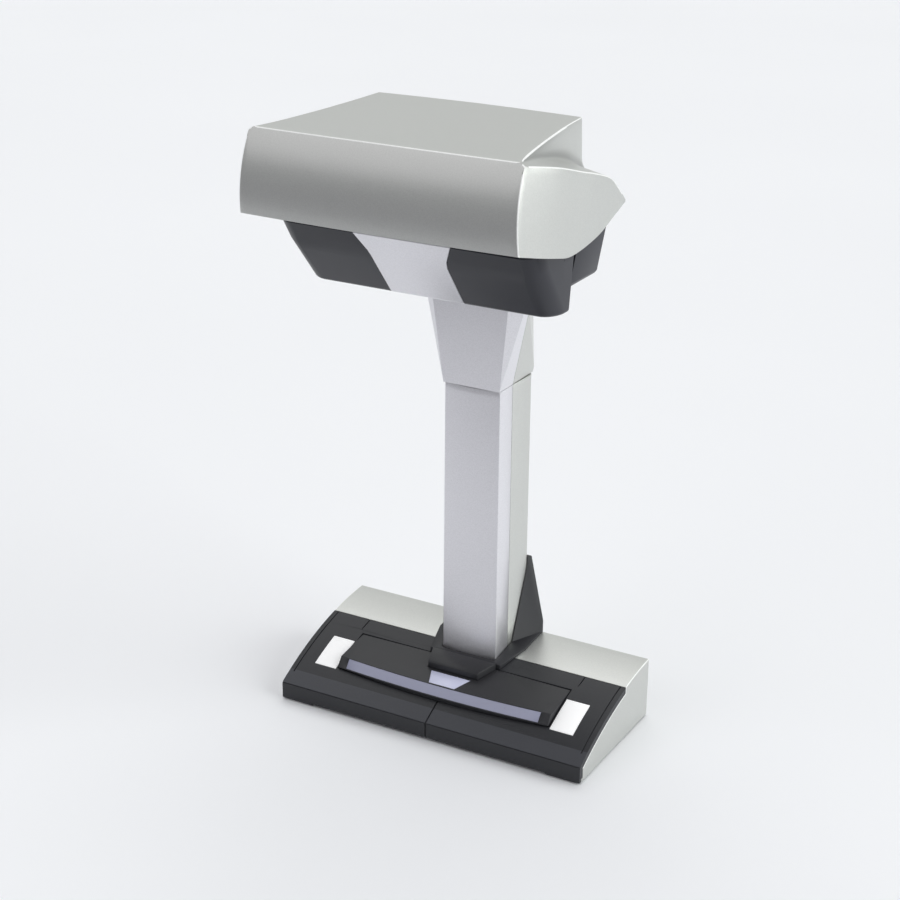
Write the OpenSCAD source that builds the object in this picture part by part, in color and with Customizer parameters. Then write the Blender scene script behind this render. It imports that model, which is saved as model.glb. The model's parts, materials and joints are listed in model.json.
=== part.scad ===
// Overhead book scanner: a weighted base with scan and stop buttons, a column with a flared
// neck, and a head whose lens unit swings about a left-right axis under a silver hood.
// Millimetres. X runs to the right, Y to the rear, Z up. Z = 0 is the surface it stands on,
// and X = 0, Y = 0 is the middle of the overall outline.

/* [Overall] */
// Width of the base
base_w = 210; // [206:1:214]
// Front edge of the base
base_y0 = -19; // [-20:0.5:-18]
// Rear face of the base and of the column
base_y1 = 78; // [78:0.5:79]
// Height of the base at its rear edge
base_h = 39.7; // [39.4:0.1:40]
// Overall height
total_h = 383; // [382:0.5:385]

/* [Base] */
// Wall of the plastic covers
wall = 2.2; // [2:0.1:2.4]
// Radius of the curved top of the base
top_r = 210; // [205:1:220]
// Height of the upright front lip
lip_h = 11.9; // [11.5:0.1:12.3]
// Where the black front cover meets the silver rear cover
split_y = 43.7; // [43:0.1:45]
// Height of the rubber feet
foot_h = 1; // [0.8:0.1:1.2]
// Depth of the black edge along each side
strip_h = 4; // [3.5:0.1:4.5]

/* [Controls] */
// Half width of the scan button
scan_hw = 74.5; // [73:0.5:74.5]
// Rear edge of the scan button
scan_y1 = 30; // [29:0.5:30]
// Half width of the lilac strip on the scan button
strip_hw = 68; // [66:0.5:69]
// Inner side of the white reference patches
patch_x0 = 75.9; // [75.8:0.1:77]
// Outer side of the white reference patches
patch_x1 = 91.3; // [90:0.1:92]

/* [Column] */
// Half width of the column
col_hw = 19; // [18.5:0.5:19.5]
// Front face of the column
col_y0 = 34.6; // [34.2:0.1:35]
// Seam between the front and the rear cover of the column
col_seam_y = 52; // [50:0.5:54]
// Seam between the column covers and the neck covers
neck_z = 213.5; // [210:0.5:216]

/* [Head] */
// Half width of the hood's front face
hood_hw = 86; // [85:0.5:86.5]
// Half width of the hood at the tips of its side wings
wing_hw = 98.5; // [97:0.5:100]
// Radius of the bulging front face of the hood
hood_r = 68.6; // [68:0.2:69.2]
// Half width of the hood's top at the rear
hood_rear_hw = 66.3; // [65.5:0.2:67]
// Rear face of the head
head_y1 = 40; // [40:0.5:41]
// Under side of the fixed rear housing
rear_z0 = 295; // [294.5:0.5:295.5]
// Distance from front to rear of the pivot of the swinging unit
pivot_y = -8; // [-8.2:0.1:-7.8]
// Height of the pivot of the swinging unit
pivot_z = 322; // [321.8:0.1:322.2]

/* [Gears] */
// Teeth of the whole circle that the sector is cut from
sector_teeth = 60; // [60]
// Teeth of each pinion
pinion_teeth = 12; // [12]
// Teeth of the large wheel of the reduction gear
wheel_teeth = 36; // [36]

/* [Hidden] */
$fn = 48;
big = 400;
gap = 0.3;
arc_fn = 240;
half_w = base_w / 2;

// centre of the circle that the base's curved top belongs to
facet_y = base_y0 + 8.5;
facet_z = 16.5;
chord = sqrt(pow(base_y1 - facet_y, 2) + pow(base_h - facet_z, 2));
chord_a = atan2(base_h - facet_z, base_y1 - facet_y);
rise = sqrt(top_r * top_r - chord * chord / 4);
arc_y = (facet_y + base_y1) / 2 + rise * sin(chord_a);
arc_z = (facet_z + base_h) / 2 - rise * cos(chord_a);
function top_z(y) = arc_z + sqrt(top_r * top_r - pow(y - arc_y, 2));

// scan button: its front is bowed on a large circle
bow_r = 795;
scan_y0 = -4.7;
scan_axis_y = scan_y1 - 1.5;
scan_axis_z = 26;
scan_pin_r = 1.5;

// stop button
stop_y0 = 15;
stop_y1 = 30;
stop_w0 = 17.5;
stop_w1 = 22.5;

// sockets in the rear wall
jack_x = -52;
jack_z = 20;
usb_x = -22;
lock_x = 85;
lock_z = 17.5;

// the neck: its flare is given over flare_h, and it runs on up to neck_top
neck_top = rear_z0 - gap;
flare_h = 50.8;
neck_k = (neck_top - neck_z) / flare_h;

// swinging unit, measured from its pivot
unit_r = 40;
skirt_r = 28;
unit_hw0 = 80;
unit_hw1 = 83.5;
unit_z0 = 283.2;
end_in = 76;

// gears
m1 = 0.8;
m2 = 0.6;
play = 0.1;
mesh_a = 45;
idler_d = m1 * (sector_teeth + pinion_teeth) / 2 + play;
idler_y = pivot_y + idler_d * cos(mesh_a);
idler_z = pivot_z + idler_d * sin(mesh_a);
motor_a = 20;
motor_d = m2 * (wheel_teeth + pinion_teeth) / 2 + play;
motor_y = idler_y + motor_d * cos(motor_a);
motor_z = idler_z + motor_d * sin(motor_a);

// ---------- shared shapes ----------

module slab(x0, x1, y0, y1, z0, z1)
    translate([x0, y0, z0]) cube([x1 - x0, y1 - y0, z1 - z0]);

// a profile drawn in Y and Z, drawn out along X
module along_x(x0, x1)
    translate([x0, 0, 0]) rotate([90, 0, 90]) linear_extrude(x1 - x0) children();

// a profile drawn in X and Z, drawn out along Y
module along_y(y0, y1)
    translate([0, y1, 0]) rotate([90, 0, 0]) linear_extrude(y1 - y0) children();

module along_z(z0, z1)
    translate([0, 0, z0]) linear_extrude(z1 - z0) children();

module rod_x(x0, x1, y, z, r)
    translate([x0, y, z]) rotate([0, 90, 0]) cylinder(h = x1 - x0, r = r);

module rod_y(y0, y1, x, z, r)
    translate([x, y0, z]) rotate([-90, 0, 0]) cylinder(h = y1 - y0, r = r);

module rod_z(z0, z1, x, y, r)
    translate([x, y, z0]) cylinder(h = z1 - z0, r = r);

module both_sides() {
    children();
    mirror([1, 0, 0]) children();
}

// points along an arc
function arc(cx, cy, r, a0, a1, n) =
    [for (i = [0 : n]) let (a = a0 + (a1 - a0) * i / n) [cx + r * cos(a), cy + r * sin(a)]];

function flip(points) = [for (i = [len(points) - 1 : -1 : 0]) [-points[i][0], points[i][1]]];

// spur gear outline; turn is in degrees, first and last are its end teeth
module gear_outline(teeth, m, turn, first, last) {
    r = m * teeth / 2;
    p = 360 / teeth;
    polygon([for (i = [first : last]) let (a = turn + i * p)
        each [
            [(r - 1.25 * m) * cos(a - 0.28 * p), (r - 1.25 * m) * sin(a - 0.28 * p)],
            [r * cos(a - 0.215 * p), r * sin(a - 0.215 * p)],
            [(r + 0.85 * m) * cos(a - 0.1 * p), (r + 0.85 * m) * sin(a - 0.1 * p)],
            [(r + 0.85 * m) * cos(a + 0.1 * p), (r + 0.85 * m) * sin(a + 0.1 * p)],
            [r * cos(a + 0.215 * p), r * sin(a + 0.215 * p)],
            [(r - 1.25 * m) * cos(a + 0.28 * p), (r - 1.25 * m) * sin(a + 0.28 * p)]
        ]]);
}

// ---------- base ----------

// side outline of the base, t inside its outer skin
module base_side(t)
    intersection() {
        polygon([
            [base_y0 + t, -1], [base_y0 + t, lip_h - 0.55 * t], [facet_y + 0.4 * t, facet_z - t + 0.4],
            [facet_y + 0.4 * t, 60], [base_y1 - t, 60], [base_y1 - t, -1]
        ]);
        translate([arc_y, arc_z]) circle(top_r - t, $fn = arc_fn);
    }

// the covers together, as one shell open below
module base_shell()
    intersection() {
        difference() {
            along_x(-half_w, half_w) base_side(0);
            along_x(-half_w + wall, half_w - wall) base_side(wall);
        }
        slab(-big, big, -big, big, foot_h, big);
    }

// what belongs to the black front cover; grow widens it for the seam
module front_zone(grow) {
    slab(-big, big, -big, base_y0 + wall + grow, -1, 60);
    difference() {
        slab(-big, big, -big, split_y + grow, 3, 60);
        along_x(-big, big) base_side(strip_h + grow);
    }
}

// plan of the raised black cover round the foot of the column
module foot_plan(t)
    polygon([
        [-25 + t, 31 + t], [25 - t, 31 + t], [31 - t, 53.8], [31 - t, base_y1 - t],
        [-31 + t, base_y1 - t], [-31 + t, 53.8]
    ]);

// room that the base's covers leave for it
module foot_cut()
    difference() {
        along_z(10, 60) foot_plan(-gap / 2);
        slab(-big, big, base_y1 - wall - 0.1, big, 0, 35.5);
    }

module stop_plan(t)
    polygon([
        [-stop_w0 - t, stop_y0 - t], [stop_w0 + t, stop_y0 - t],
        [stop_w1 + t, stop_y1 + t], [-stop_w1 - t, stop_y1 + t]
    ]);

module base_front_cover() color("#2f3136")
    difference() {
        union() {
            intersection() {
                base_shell();
                front_zone(0);
            }
            // ears that hold the pins of the scan button
            both_sides()
                slab(scan_hw + 0.8, scan_hw + 3, 25, 32, 22.5, 30.5);
        }
        rod_x(-scan_hw - 4, scan_hw + 4, scan_axis_y, scan_axis_z, scan_pin_r + 0.08);
        // well of the scan and stop buttons
        intersection() {
            slab(-scan_hw - 0.5, scan_hw + 0.5, scan_y0 - 5, scan_y1 + 0.4, 14, 60);
            translate([0, scan_y0 + bow_r, 14]) cylinder(h = 60, r = bow_r - 0.8, $fn = 720);
        }
        slab(-25, 25, scan_y1, 31, 14, 60);
        foot_cut();
        both_sides() patch_solid(patch_x0 - 0.1, patch_x1 + 0.1, 0.9, 2, 0.1);
        // the lower edge is raised between its ends, and the middle is marked by a groove
        slab(-82, 82, -big, base_y0 + wall + 1, 0, foot_h + 1);
        translate([0, base_y0, 0]) rotate([0, 0, 45]) cube([0.8, 0.8, 60], center = true);
    }

module base_rear_cover() color("#c9ccc8")
    difference() {
        base_shell();
        front_zone(gap);
        foot_cut();
        // ways out for the power jack, the data socket and the lock slot
        rod_y(70, 80, jack_x, jack_z, 4.4);
        slab(usb_x - 6.3, usb_x + 6.3, 70, 80, 13.4, 24.9);
        slab(lock_x - 5.5, lock_x + 5.5, 70, 80, lock_z - 3, lock_z + 3);
    }

// a plate that follows the curved top: in is its depth below the skin, out its rise above it
module patch_solid(x0, x1, in, out, grow)
    intersection() {
        along_x(x0, x1) difference() {
            translate([arc_y, arc_z]) circle(top_r + out, $fn = arc_fn);
            translate([arc_y, arc_z]) circle(top_r - in, $fn = arc_fn);
        }
        slab(-big, big, -1.3 - grow, 21.9 + grow, 0, 60);
    }

module white_reference_left() color("white")
    mirror([1, 0, 0]) patch_solid(patch_x0, patch_x1, 0.9, 0.15, 0);

module white_reference_right() color("white")
    patch_solid(patch_x0, patch_x1, 0.9, 0.15, 0);

module foot_pads() color("#222222")
    both_sides()
        for (y = [base_y0 + 11, base_y1 - 12])
            rod_z(0, foot_h + 0.4, half_w - 16, y, 7);

module base_bottom_cover() color("#2b2d31")
    difference() {
        slab(-half_w + wall + gap, half_w - wall - gap, base_y0 + wall + gap, base_y1 - wall - gap,
            foot_h, foot_h + 4);
        slab(-half_w + 6, half_w - 6, base_y0 + 6, base_y1 - 6, foot_h + 2, 20);
        both_sides()
            for (y = [base_y0 + 11, base_y1 - 12])
                rod_z(0, foot_h + 0.4, half_w - 16, y, 7);
        both_sides()
            for (y = [base_y0 + 26, base_y1 - 28]) {
                rod_z(0, 20, half_w - 14, y, 1.6);
                rod_z(0, foot_h + 1, half_w - 14, y, 3.2);
            }
    }

module base_plate() color("#8d9196")
    difference() {
        slab(-84, 84, base_y0 + 8, base_y1 - 10, foot_h + 2, foot_h + 8);
        slab(-14, 14, 44, 58, foot_h + 5, 20);
    }

module base_screws() color("#5c6066")
    both_sides()
        for (y = [base_y0 + 26, base_y1 - 28]) {
            rod_z(foot_h + 0.2, foot_h + 1, half_w - 14, y, 2.8);
            rod_z(foot_h + 1, foot_h + 8, half_w - 14, y, 1.5);
        }

// ---------- controls ----------

// the scan button's solid, t inside its outer skin, on a front bowed by bow_r
module scan_form(t)
    intersection() {
        translate([0, scan_y0 + bow_r, 0])
            rotate_extrude($fn = 720) polygon([
                [bow_r - t, 22.2], [bow_r - t, 22.8], [bow_r - 4.6 - t, 28.4 - t],
                [bow_r - 34.8, 32.4 - t], [bow_r - 36, 22.2]
            ]);
        slab(-scan_hw + t, scan_hw - t, scan_y0 - 1, scan_y1 - t, 10, 60);
    }

module scan_strip_solid(in, out, grow)
    intersection() {
        translate([0, scan_y0 + bow_r, 0])
            rotate_extrude($fn = 720) polygon([
                [bow_r + out - 0.4, 23.1 - grow], [bow_r + out - 4.4, 28.1 + grow],
                [bow_r - in - 4.4, 28.1 + grow], [bow_r - in - 0.4, 23.1 - grow]
            ]);
        slab(-strip_hw - grow, strip_hw + grow, scan_y0 - 1, scan_y1, 10, 60);
    }

module lamp_plan(t)
    polygon([[-9 - t, 0.8 - t], [9 + t, 0.8 - t], [14 + t, 13 + t], [-14 - t, 13 + t]]);

module scan_button() color("#34363b")
    difference() {
        union() {
            difference() {
                scan_form(0);
                translate([0, 0, -1.6]) scan_form(1.6);
            }
            both_sides() {
                slab(40, 44, 4, 8, 18.9, 28);
                slab(scan_hw - 1.6, scan_hw, 2, scan_y1, 20.5, 24);
                slab(scan_hw - 1.6, scan_hw, 26, scan_y1, 22, 30);
                rod_x(scan_hw - 1, scan_hw + 3, scan_axis_y, scan_axis_z, scan_pin_r);
            }
            // skirt that closes the view below the front edge
            intersection() {
                translate([0, scan_y0 + bow_r, 17.5]) difference() {
                    cylinder(h = 5.6, r = bow_r - 1.2, $fn = 720);
                    translate([0, 0, -1]) cylinder(h = 8, r = bow_r - 2.8, $fn = 720);
                }
                slab(-scan_hw, scan_hw, scan_y0 - 5, scan_y1, 10, 60);
            }
            slab(-scan_hw + 1, scan_hw - 1, scan_y1 - 1.6, scan_y1, 21.8, 30);
        }
        scan_strip_solid(1.06, 2, 0.05);
        along_z(20, 60) stop_plan(0.4);
        along_z(20, 60) lamp_plan(0.05);
    }

module scan_button_strip() color("#b7b9dd")
    scan_strip_solid(1, 0, 0);

module lamp_window() color("#c4c7ea")
    intersection() {
        along_z(20, 60) lamp_plan(0);
        difference() {
            translate([0, 0, -0.2]) scan_form(0);
            translate([0, 0, -1.6]) scan_form(0);
        }
    }

module stop_button() color("#303237")
    difference() {
        union() {
            intersection() {
                along_z(20, 60) stop_plan(0);
                along_x(-big, big) polygon([
                    [stop_y0 - 1, 27], [stop_y0 - 1, 33.5], [stop_y0 + 1.5, 35],
                    [stop_y1 + 1, 36.4], [stop_y1 + 1, 27]
                ]);
            }
            rod_z(18.5, 28, 0, 22, 2);
        }
        difference() {
            along_z(26, 33) stop_plan(-1.6);
            rod_z(18, 34, 0, 22, 2);
        }
    }

module button_board() color("#2f6b45")
    difference() {
        slab(-50, 50, -4, 28, 13.8, 15.4);
        both_sides() rod_z(13, 16, 46, 12, 1.6);
    }

module tact_switches() color("#1d1d1f") {
    for (x = [-42, 42]) {
        slab(x - 3, x + 3, 3, 9, 15.4, 17);
        rod_z(17, 18.2, x, 6, 1.6);
    }
    slab(-3, 3, 19, 25, 15.4, 16.6);
    rod_z(16.6, 17.6, 0, 22, 1.6);
}

// posts moulded for the circuit boards
module board_posts() color("#2b2d31") {
    both_sides() {
        rod_z(foot_h + 8, 13.8, 46, 12, 3);
        rod_z(13.8, 15.3, 46, 12, 1.5);
        rod_z(foot_h + 8, 12, 60, 64, 3);
        rod_z(12, 13.5, 60, 64, 1.5);
    }
}

// ---------- electronics in the base ----------

module main_board() color("#2f6b45")
    difference() {
        slab(-78, 78, 44, 75, 12, 13.6);
        slab(-16, 16, 40, 73, 11, 15);
        both_sides() rod_z(11, 15, 60, 64, 1.6);
    }

module board_chips() color("#222326") {
    slab(26, 40, 50, 64, 13.6, 15.2);
    slab(-44, -34, 50, 58, 13.6, 14.8);
    slab(48, 56, 50, 54, 13.6, 14.8);
    for (x = [-70, -64, 66, 72]) rod_z(13.6, 21, x, 52, 2.4);
}

module dc_jack() color("#1a1a1c") {
    difference() {
        union() {
            slab(jack_x - 5, jack_x + 5, 63, 75.4, 13.6, 25);
            rod_y(75, 77.6, jack_x, jack_z, 4.2);
        }
        rod_y(66, 80, jack_x, jack_z, 2.9);
    }
    rod_y(64, 76, jack_x, jack_z, 1);
}

module usb_socket() color("#b9bcc0")
    difference() {
        slab(usb_x - 6, usb_x + 6, 62, 77.4, 13.6, 24.6);
        slab(usb_x - 5.2, usb_x + 5.2, 66, 80, 14.6, 23.8);
    }

module security_slot_plate() color("#9a9da1")
    difference() {
        slab(lock_x - 5.3, lock_x + 5.3, 74, 77.6, lock_z - 2.8, lock_z + 2.8);
        slab(lock_x - 3.5, lock_x + 3.5, 70, 80, lock_z - 1.5, lock_z + 1.5);
    }

// ---------- column ----------

// outline of the column, t inside its skin
module column_plan(t) {
    r = 2.5 - t * 0.4;
    polygon(concat(
        arc(col_hw - t - r, col_y0 + t + r, r, -90, 0, 5),
        arc(col_hw + 1 - t - 5, base_y1 - t - 5, 5, 0, 90, 6),
        flip(concat(
            arc(col_hw - t - r, col_y0 + t + r, r, -90, 0, 5),
            arc(col_hw + 1 - t - 5, base_y1 - t - 5, 5, 0, 90, 6)
        ))
    ));
}

module column_tube(z0, z1)
    difference() {
        along_z(z0, z1) column_plan(0);
        along_z(z0 - 1, z1 + 1) column_plan(wall);
    }

module column_front_cover() color("#bdbcc0")
    intersection() {
        column_tube(36, neck_z);
        slab(-big, big, 0, col_seam_y - gap / 2, 0, big);
    }

module column_rear_cover() color("#c6cbc5")
    intersection() {
        column_tube(36, neck_z);
        slab(-big, big, col_seam_y + gap / 2, big, 0, big);
    }

// black cover round the foot, with a gusset behind each side of the column
module column_foot_cover() color("#2f3136")
    difference() {
        union() {
            intersection() {
                along_z(28, 60) foot_plan(0);
                along_x(-big, big) polygon([
                    [31, 28], [31, 35.2], [53.8, 38.9], [base_y1, 41.2], [base_y1, 28]
                ]);
            }
            // gusset behind the column, with one slanted plane on each side
            difference() {
                slab(-31, 31, 55, base_y1, 36, 91);
                both_sides() cut_beyond([20.1, 56.6, 38.7], [1.3, 21, 52], [12.2, 21, 2.1], 0);
            }
        }
        along_z(20, 100) column_plan(-gap);
        intersection() {
            along_z(20, 36.5) foot_plan(wall);
            slab(-big, big, 32, base_y1 - wall, 0, 33.4);
        }
        // its rear skirt stands on the rear wall of the base
        slab(-32, 32, base_y1 - wall - 0.4, big, 0, 35.8);
    }

// the neck, t inside its skin: it flares from the column's outline, its front corners are cut
// by one plane each and its rear corners by another
module neck_form(t, z0, z1)
    difference() {
        intersection() {
            along_y(0, 100) polygon(concat(
                [for (z = [z0, z1]) [neck_half(z) - t, z]],
                [for (z = [z1, z0]) [t - neck_half(z), z]]
            ));
            along_x(-60, 60) polygon(concat(
                [for (z = [z0, z1]) [col_y0 - 2.6 * flare(z) + t, z]],
                [for (z = [z1, z0]) [base_y1 - 5 * flare(z) - t, z]]
            ));
        }
        both_sides() {
            cut_beyond([col_hw, col_y0, neck_z], [5.9, -2.6, flare_h], [12.5, 3.1, flare_h], t);
            cut_beyond([col_hw + 1, base_y1, neck_z], [12.4, -33, flare_h], [0.5, -5, flare_h], t);
        }
    }

function flare(z) = (z - neck_z) / flare_h;
function neck_half(z) = col_hw + 13.4 * flare(z);

// everything beyond the plane through p along u and v, moved in by t
module cut_beyond(p, u, v, t) {
    n = cross(v, u) / norm(cross(v, u));
    translate(p) rotate([0, acos(n[2]), atan2(n[1], n[0])])
        translate([-big / 2, -big / 2, -t]) cube([big, big, 90]);
}

module neck_tube()
    difference() {
        neck_form(0, neck_z + gap, neck_top);
        neck_form(wall, neck_z - 2, neck_top + 3);
    }

// the seam plane leans forward with the flare
module neck_seam_side(y_off)
    along_x(-big, big) polygon([
        [52 + y_off, neck_z - 1], [52 - 7 * neck_k + y_off, neck_top + 1],
        [-100, neck_top + 1], [-100, neck_z - 1]
    ]);

module neck_front_cover() color("#bdbcc0")
    intersection() {
        neck_tube();
        neck_seam_side(-gap / 2);
    }

// rear cover of the neck, which runs on up behind the head
module neck_rear_cover() color("#c6cbc5") {
    difference() {
        neck_tube();
        neck_seam_side(gap / 2);
        slab(-big, big, -big, head_y1 + gap, neck_top - 1, big);
    }
    difference() {
        neck_back(0);
        neck_back(wall);
    }
}

// what runs on up behind the head, t inside its skin and open towards the head and below
module neck_back(t) {
    front = head_y1 + gap - t * 2;
    intersection() {
        along_z(neck_top - t * 0.5, 352 - t) polygon([
            [-40 + t, front], [40 - t, front], [20.8 - t, 70 - t], [t - 20.8, 70 - t]
        ]);
        along_y(0, 100) polygon([
            [t - 40, 290], [40 - t, 290], [40 - t, neck_top], [24 - t, 334], [22 - t, 353],
            [t - 22, 353], [t - 24, 334], [t - 40, neck_top]
        ]);
        along_x(-60, 60) polygon([
            [0, 290], [70 - t, 290], [70 - t, neck_top], [62 - t, 334], [51 - t, 353], [0, 353]
        ]);
    }
}

module column_frame() color("#9da1a6") {
    difference() {
        slab(-14, 14, 44, 58, foot_h + 5, 336);
        slab(-12.4, 12.4, 45.6, 59, foot_h + 6.6, 337);
    }
    difference() {
        slab(-44, 44, 44, 66, foot_h + 8, foot_h + 9.6);
        slab(-13, 13, 43, 59, 0, 20);
        both_sides() rod_z(0, 20, 30, 55, 1.6);
    }
}

module wiring_harness() color("#d8d5cb")
    for (i = [-2 : 2]) rod_z(16, 330, i * 2.2, 52, 1);

module column_screws() color("#5c6066")
    both_sides() {
        rod_z(foot_h + 9.6, foot_h + 10.8, 30, 55, 3);
        rod_z(foot_h + 8, foot_h + 9.6, 30, 55, 1.6);
    }

// ---------- hood and fixed head parts ----------

// side outline of the wings and the front face
module hood_side(t)
    intersection() {
        polygon([
            [-90, 335.5 - t * 9], [-60, 331 - t * 9], [-33, 324.7 - t * 9],
            [-19.6, 326.3 - t * 9], [-2.5, 330.3 - t * 9],
            [8.8, 335.5 - t * 9], [26.5 - t * 1.4, 343], [17 - t * 0.7, 352 - t * 0.7],
            [7.5 - t * 0.3, 359.4 - t], [-8.4, 364.9 - t], [-39.3, 373.6 - t],
            [-68, 379.6 - t], [-90, 380.6 - t]
        ]);
        translate([hood_r - 78, 345]) circle(hood_r - t, $fn = arc_fn);
    }

// plan of the hood with its flaring wings
module hood_plan(t) {
    right = [
        [hood_hw - 2 - t, -90], [hood_hw - t, -75], [88.4 - t, -58], [91.9 - t, -40],
        [95 - t, -21], [97.2 - t, -5], [98.3 - t, 10], [wing_hw - t, 30]
    ];
    polygon(concat(right, flip(right)));
}

module hood_box(t)
    intersection() {
        along_z(330 - t * 5, 400) polygon([
            [-84 + t, -68 + t], [84 - t, -68 + t], [hood_rear_hw - t, head_y1 - t],
            [-hood_rear_hw + t, head_y1 - t]
        ]);
        along_x(-big, big) polygon([
            [-90, 310], [-90, total_h - 2.8 - t], [head_y1, total_h - t], [head_y1 + 9, total_h - t],
            [head_y1 + 9, 310]
        ]);
        along_x(-big, big) translate([hood_r - 78, 345]) circle(hood_r - t, $fn = arc_fn);
    }

// rear shoulders, which close the hood between its wings and its box
module hood_back(t) {
    intersection() {
        along_z(329.6 - t * 5, 400) polygon([
            [-86 + t, -10], [86 - t, -10], [84 - t, head_y1 - t], [-84 + t, head_y1 - t]
        ]);
        shoulder_side(t, 300);
    }
    intersection() {
        along_z(300, 400) polygon([
            [-97.5 + t, -10], [97.5 - t, -10], [97.6 - t, 24], [84 - t, head_y1 - t],
            [-84 + t, head_y1 - t], [-97.6 + t, 24]
        ]);
        shoulder_side(t, 342 + t * 0.8);
    }
}

module shoulder_side(t, z0)
    along_x(-big / 2, big / 2) polygon([
        [-10, z0], [-10, 362 - t * 1.1], [7.5, 358 - t * 1.1], [25.5, 345.6 - t],
        [head_y1 + 1, 343.6 - t], [head_y1 + 1, z0]
    ]);

module hood_form(t) {
    intersection() {
        along_x(-big / 2, big / 2) hood_side(t);
        along_z(300, 400) hood_plan(t);
    }
    hood_box(t);
    hood_back(t);
}

module hood() color("#c2c5c0")
    difference() {
        hood_form(0);
        hood_form(wall);
        // opening for the arm of the chassis
        slab(-16, 16, 30, 50, 300, 346);
    }

// black panel that closes the hood round the swinging unit
module hood_baffle() color("#26282b")
    difference() {
        intersection() {
            along_z(336, 337.6) hood_plan(wall + gap);
            along_x(-big / 2, big / 2) hood_side(wall + gap);
            slab(-big, big, -big, -6, 0, big);
        }
        slab(-84.6, 84.6, -48.4, 10, 330, 340);
    }

module housing_form(t)
    intersection() {
        along_y(1.8, head_y1 - t) polygon(concat(
            arc(70 - t, rear_z0 + 8, 8 - t, -90, -15, 6),
            [[84 - t, 329.3], [-84 + t, 329.3]],
            flip(arc(70 - t, rear_z0 + 8, 8 - t, -90, -15, 6))
        ));
        along_x(-big, big) polygon(concat(
            [[0, 340], [0, rear_z0 + t]],
            arc(head_y1 - t - 5, rear_z0 + t + 5, 5, -90, 0, 6),
            [[head_y1 - t, 340]]
        ));
    }

module head_rear_housing() color("#3b3d43")
    difference() {
        housing_form(0);
        translate([0, 0, 0.01]) intersection() {
            translate([0, -5, 0]) union() {
                housing_form(wall);
                translate([0, 5, 0]) housing_form(wall);
            }
            slab(-big, big, -10, head_y1 - wall, rear_z0 + wall, 340);
        }
        // room for the dust skirt, and the opening for the arm of the chassis
        rod_x(-75.4, 75.4, pivot_y, pivot_z, skirt_r + 0.6);
        slab(-16, 16, 30, 50, 300, 346);
    }

// steel cross plate, arm to the column frame, and two side plates that carry the pivot pins
module head_chassis() color("#a4a8ad") {
    difference() {
        union() {
            slab(-73, 73, 34, 35.6, 301, 327);
            slab(-62, 62, 34, 35.6, 327, 356);
            slab(-13, 13, 35.6, 44, 306, 334);
        }
        slab(-11.4, 11.4, 30, 50, 312, 328);
        // room for the motor
        slab(27, 47, 30, 40, 336, 357);
        both_sides() rod_y(30, 50, 60, 310, 1.7);
    }
    both_sides()
        difference() {
            along_x(71, 73) polygon(concat(
                [[34, 316], [34, 327]],
                [[2, 331]],
                arc(pivot_y, pivot_z, 9, 80, 270, 12),
                [[2, 316]]
            ));
            rod_x(70, 74, pivot_y, pivot_z, 2.5);
        }
}

module chassis_screws() color("#5c6066")
    both_sides() {
        rod_y(32.4, 34, 60, 310, 3);
        rod_y(34, 37, 60, 310, 1.6);
    }

module pivot_pin_right() color("#c8cace") {
    rod_x(71, 79.6, pivot_y, pivot_z, 2.5);
    rod_x(69.5, 71, pivot_y, pivot_z, 4);
}

module pivot_pin_left() color("#c8cace") mirror([1, 0, 0]) {
    rod_x(71, 79.6, pivot_y, pivot_z, 2.5);
    rod_x(69.5, 71, pivot_y, pivot_z, 4);
}

module head_board() color("#2f6b45") {
    slab(-52, 52, -48, 22, 365.6, 367.2);
    both_sides() for (y = [-40, 14]) rod_z(367.2, total_h - 4.4, 44, y, 2.5);
    slab(-8, 8, -30, -16, 367.2, 369);
    slab(24, 36, -20, -10, 367.2, 368.6);
}

module motor() color("#7d8186")
    difference() {
        rod_x(28, 46, motor_y, motor_z, 10);
        rod_x(36, 47, motor_y, motor_z, 1.06);
    }

module motor_shaft() color("#c8cace")
    rod_x(36.2, 58.6, motor_y, motor_z, 1);

module motor_bracket() color("#a4a8ad")
    difference() {
        union() {
            along_x(46, 47.5) polygon([
                [6, 334], [34, 334], [34, 359], [20, 359], [6, 349]
            ]);
            slab(47.5, 56, 32.8, 34, 345, 355);
        }
        rod_x(45, 48, motor_y, motor_z, 2);
        rod_x(45, 48, idler_y, idler_z, 1.5);
    }

module gear_axle() color("#c8cace") {
    rod_x(46, 58.6, idler_y, idler_z, 1.5);
    rod_x(58.6, 59.4, idler_y, idler_z, 2.6);
}

module home_sensor() color("#1c1d20")
    difference() {
        slab(-71, -60, 14, 24, 326, 334);
        slab(-66, -63, 10, 21, 325, 335);
    }

// ---------- gears ----------

module reduction_gear() color("#e6e2d6")
    difference() {
        union() {
            translate([49.8, idler_y, idler_z]) rotate([90, 0, 90]) linear_extrude(4.4)
                gear_outline(pinion_teeth, m1, mesh_a + 180, 0, pinion_teeth - 1);
            translate([54.2, idler_y, idler_z]) rotate([90, 0, 90]) linear_extrude(3.2)
                gear_outline(wheel_teeth, m2, motor_a + 5, 0, wheel_teeth - 1);
        }
        rod_x(49, 58, idler_y, idler_z, 1.55);
    }

module motor_pinion() color("#c9a75b")
    difference() {
        translate([54.4, motor_y, motor_z]) rotate([90, 0, 90]) linear_extrude(3.4)
            gear_outline(pinion_teeth, m2, motor_a + 180, 0, pinion_teeth - 1);
        rod_x(54, 59, motor_y, motor_z, 1);
    }

module sector_gear() color("#e6e2d6")
    difference() {
        translate([49.5, pivot_y, pivot_z]) rotate([90, 0, 90]) linear_extrude(4)
            union() {
                difference() {
                    gear_outline(sector_teeth, m1, mesh_a + 3, 0, sector_teeth - 1);
                    // it spans from 30 to 106 degrees above the horizontal
                    rotate(106) translate([-big / 2, 0]) square([big, big]);
                    rotate(30) translate([-big / 2, -big]) square([big, big]);
                }
                circle(8);
            }
        rod_x(49, 54, pivot_y, pivot_z, 3);
    }

// ---------- swinging unit ----------

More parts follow.
